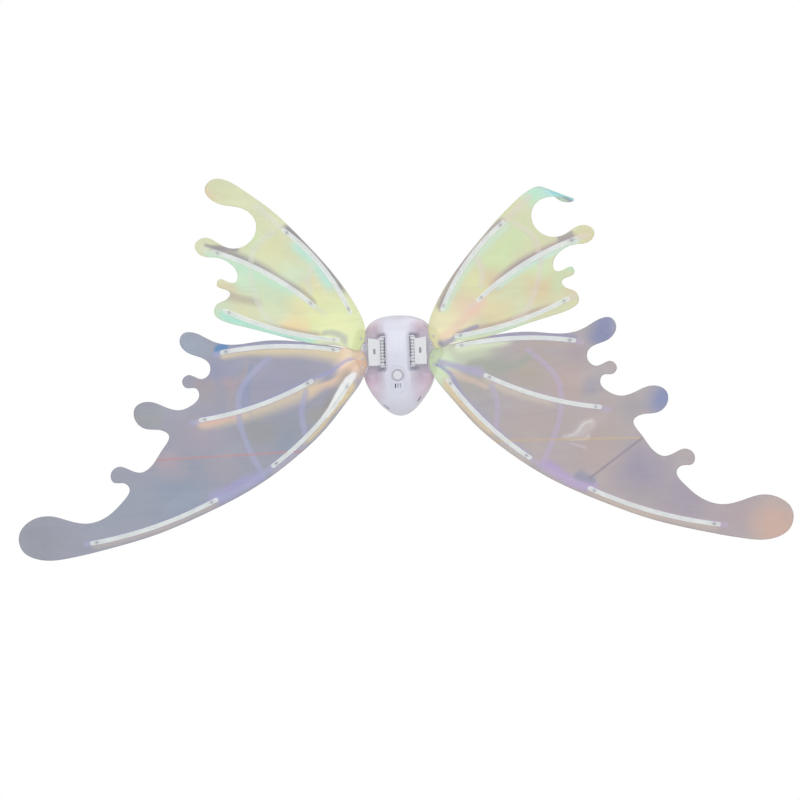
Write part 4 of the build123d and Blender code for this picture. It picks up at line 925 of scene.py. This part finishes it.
def build_ears():
    """Rounded lugs that hold the ends of both hinge pins."""
    for side_name, side in SIDES.items():
        for low, high in EAR_PLACES:
            turn = np.linspace(-math.pi / 2, math.pi / 2, 15)
            rim = [(EAR_CENTRE[0] + EAR_RADIUS * math.cos(t), EAR_CENTRE[1] + EAR_RADIUS * math.sin(t))
                   for t in turn]
            rim = [(BAND_WALL - 1 * MM, rim[0][1])] + rim + [(BAND_WALL - 1 * MM, rim[-1][1])]
            count = len(rim)
            spots = [(side * x, y, z) for z in (low, high) for x, y in rim]
            faces = [tuple(range(count)), tuple(range(2 * count - 1, count - 1, -1))]
            faces += [(i, (i + 1) % count, count + (i + 1) % count, count + i) for i in range(count)]
            name = side_name + ("_ear_low" if low < 0 else "_ear_high")
            ear = new_piece(name, spots, faces, FINISHES["pod_white"], "pod", smooth=False)
            mesh = bmesh.new()
            mesh.from_mesh(ear.data)
            bmesh.ops.recalc_face_normals(mesh, faces=mesh.faces)
            mesh.to_mesh(ear.data)
            mesh.free()
            add_modifier(ear, "BEVEL", width=0.4 * MM, segments=2)


# ---------------------------------------------------------------- stage
def area_light(name, place, aim, size, power, colour=(1, 1, 1)):
    data = bpy.data.lights.new(name, "AREA")
    data.shape = "RECTANGLE"
    data.size, data.size_y = size
    data.energy = power
    data.color = colour
    lamp = bpy.data.objects.new(name, data)
    bpy.context.scene.collection.objects.link(lamp)
    lamp.location = place
    lamp.rotation_euler = (Vector(aim) - Vector(place)).to_track_quat("-Z", "Y").to_euler()
    return lamp


def build_stage():
    world = bpy.data.worlds.new("studio")
    bpy.context.scene.world = world
    world.use_nodes = True
    tree = world.node_tree
    background = tree.nodes["Background"]
    path = tree.nodes.new("ShaderNodeLightPath")
    mix = tree.nodes.new("ShaderNodeMix")
    mix.inputs["A"].default_value = 0.62
    mix.inputs["B"].default_value = 1.0
    tree.links.new(path.outputs["Is Camera Ray"], mix.inputs["Factor"])
    tree.links.new(mix.outputs["Result"], background.inputs["Strength"])
    background.inputs["Color"].default_value = (1, 1, 1, 1)
    target = (0, 0, -0.02)
    area_light("key", (-0.9, -2.2, 1.5), target, (2.6, 2.0), 17, (0.94, 0.97, 1.0))
    area_light("fill", (1.5, -2.0, 0.2), target, (2.0, 2.2), 7)
    area_light("top", (0.2, -0.2, 2.0), target, (2.4, 1.2), 6)
    bpy.ops.mesh.primitive_plane_add(size=FLOOR_SIZE, location=(0, 0, FLOOR_Z))
    floor = bpy.context.object
    floor.name = "floor"
    paint = Surface("floor_paint", Roughness=0.8)
    paint.link(paint.ramp(paint.noise(3.0), [(0.3, srgb(244, 244, 244)), (0.7, srgb(250, 250, 250))]),
               paint.shader.inputs["Base Color"])
    floor.data.materials.append(paint.material)
    bpy.context.scene.view_settings.view_transform = "Standard"


def build_camera():
    data = bpy.data.cameras.new("camera")
    data.sensor_width = SENSOR
    data.lens = SENSOR * CAMERA_DISTANCE / VIEW_WIDTH
    data.clip_start, data.clip_end = 0.1, 20.0
    camera = bpy.data.objects.new("camera", data)
    bpy.context.scene.collection.objects.link(camera)
    back = Vector((math.sin(CAMERA_AZIMUTH), -math.cos(CAMERA_AZIMUTH), 0))
    level = back.cross(Vector((0, 0, 1))) * -1
    up = Vector((0, 0, 1)) * math.cos(CAMERA_ROLL) + level * math.sin(CAMERA_ROLL)
    right = up.cross(back)
    turn = Matrix((right, up, back)).transposed()
    camera.matrix_world = Matrix.Translation(Vector(VIEW_CENTRE) + back * CAMERA_DISTANCE) @ turn.to_4x4()
    bpy.context.scene.camera = camera


def dress_cad():
    slots = {row["node"]: row["material_slot"] for row in frame["record"]["subparts"]}
    for name, node in NODES.items():
        node.data.materials.clear()
        node.data.materials.append(FINISHES[slots[name]])


def dress_ribs():
    clear = rib_material()
    pale = clear_plastic("clear_nylon", srgb(238, 240, 244), 0.5, 0.15)
    for name, node in NODES.items():
        if name.endswith("_rib"):
            node.data.materials[0] = clear
            add_modifier(node, "BEVEL", width=0.7 * MM, segments=2, limit_method="ANGLE", angle_limit=0.9)
        elif name.endswith(("root_screws", "rib_eyelets")):
            node.data.materials[0] = pale


FINISHES = slot_materials()
dress_cad()
dress_ribs()
build_wings()
build_pod_front()
build_stage()
build_camera()
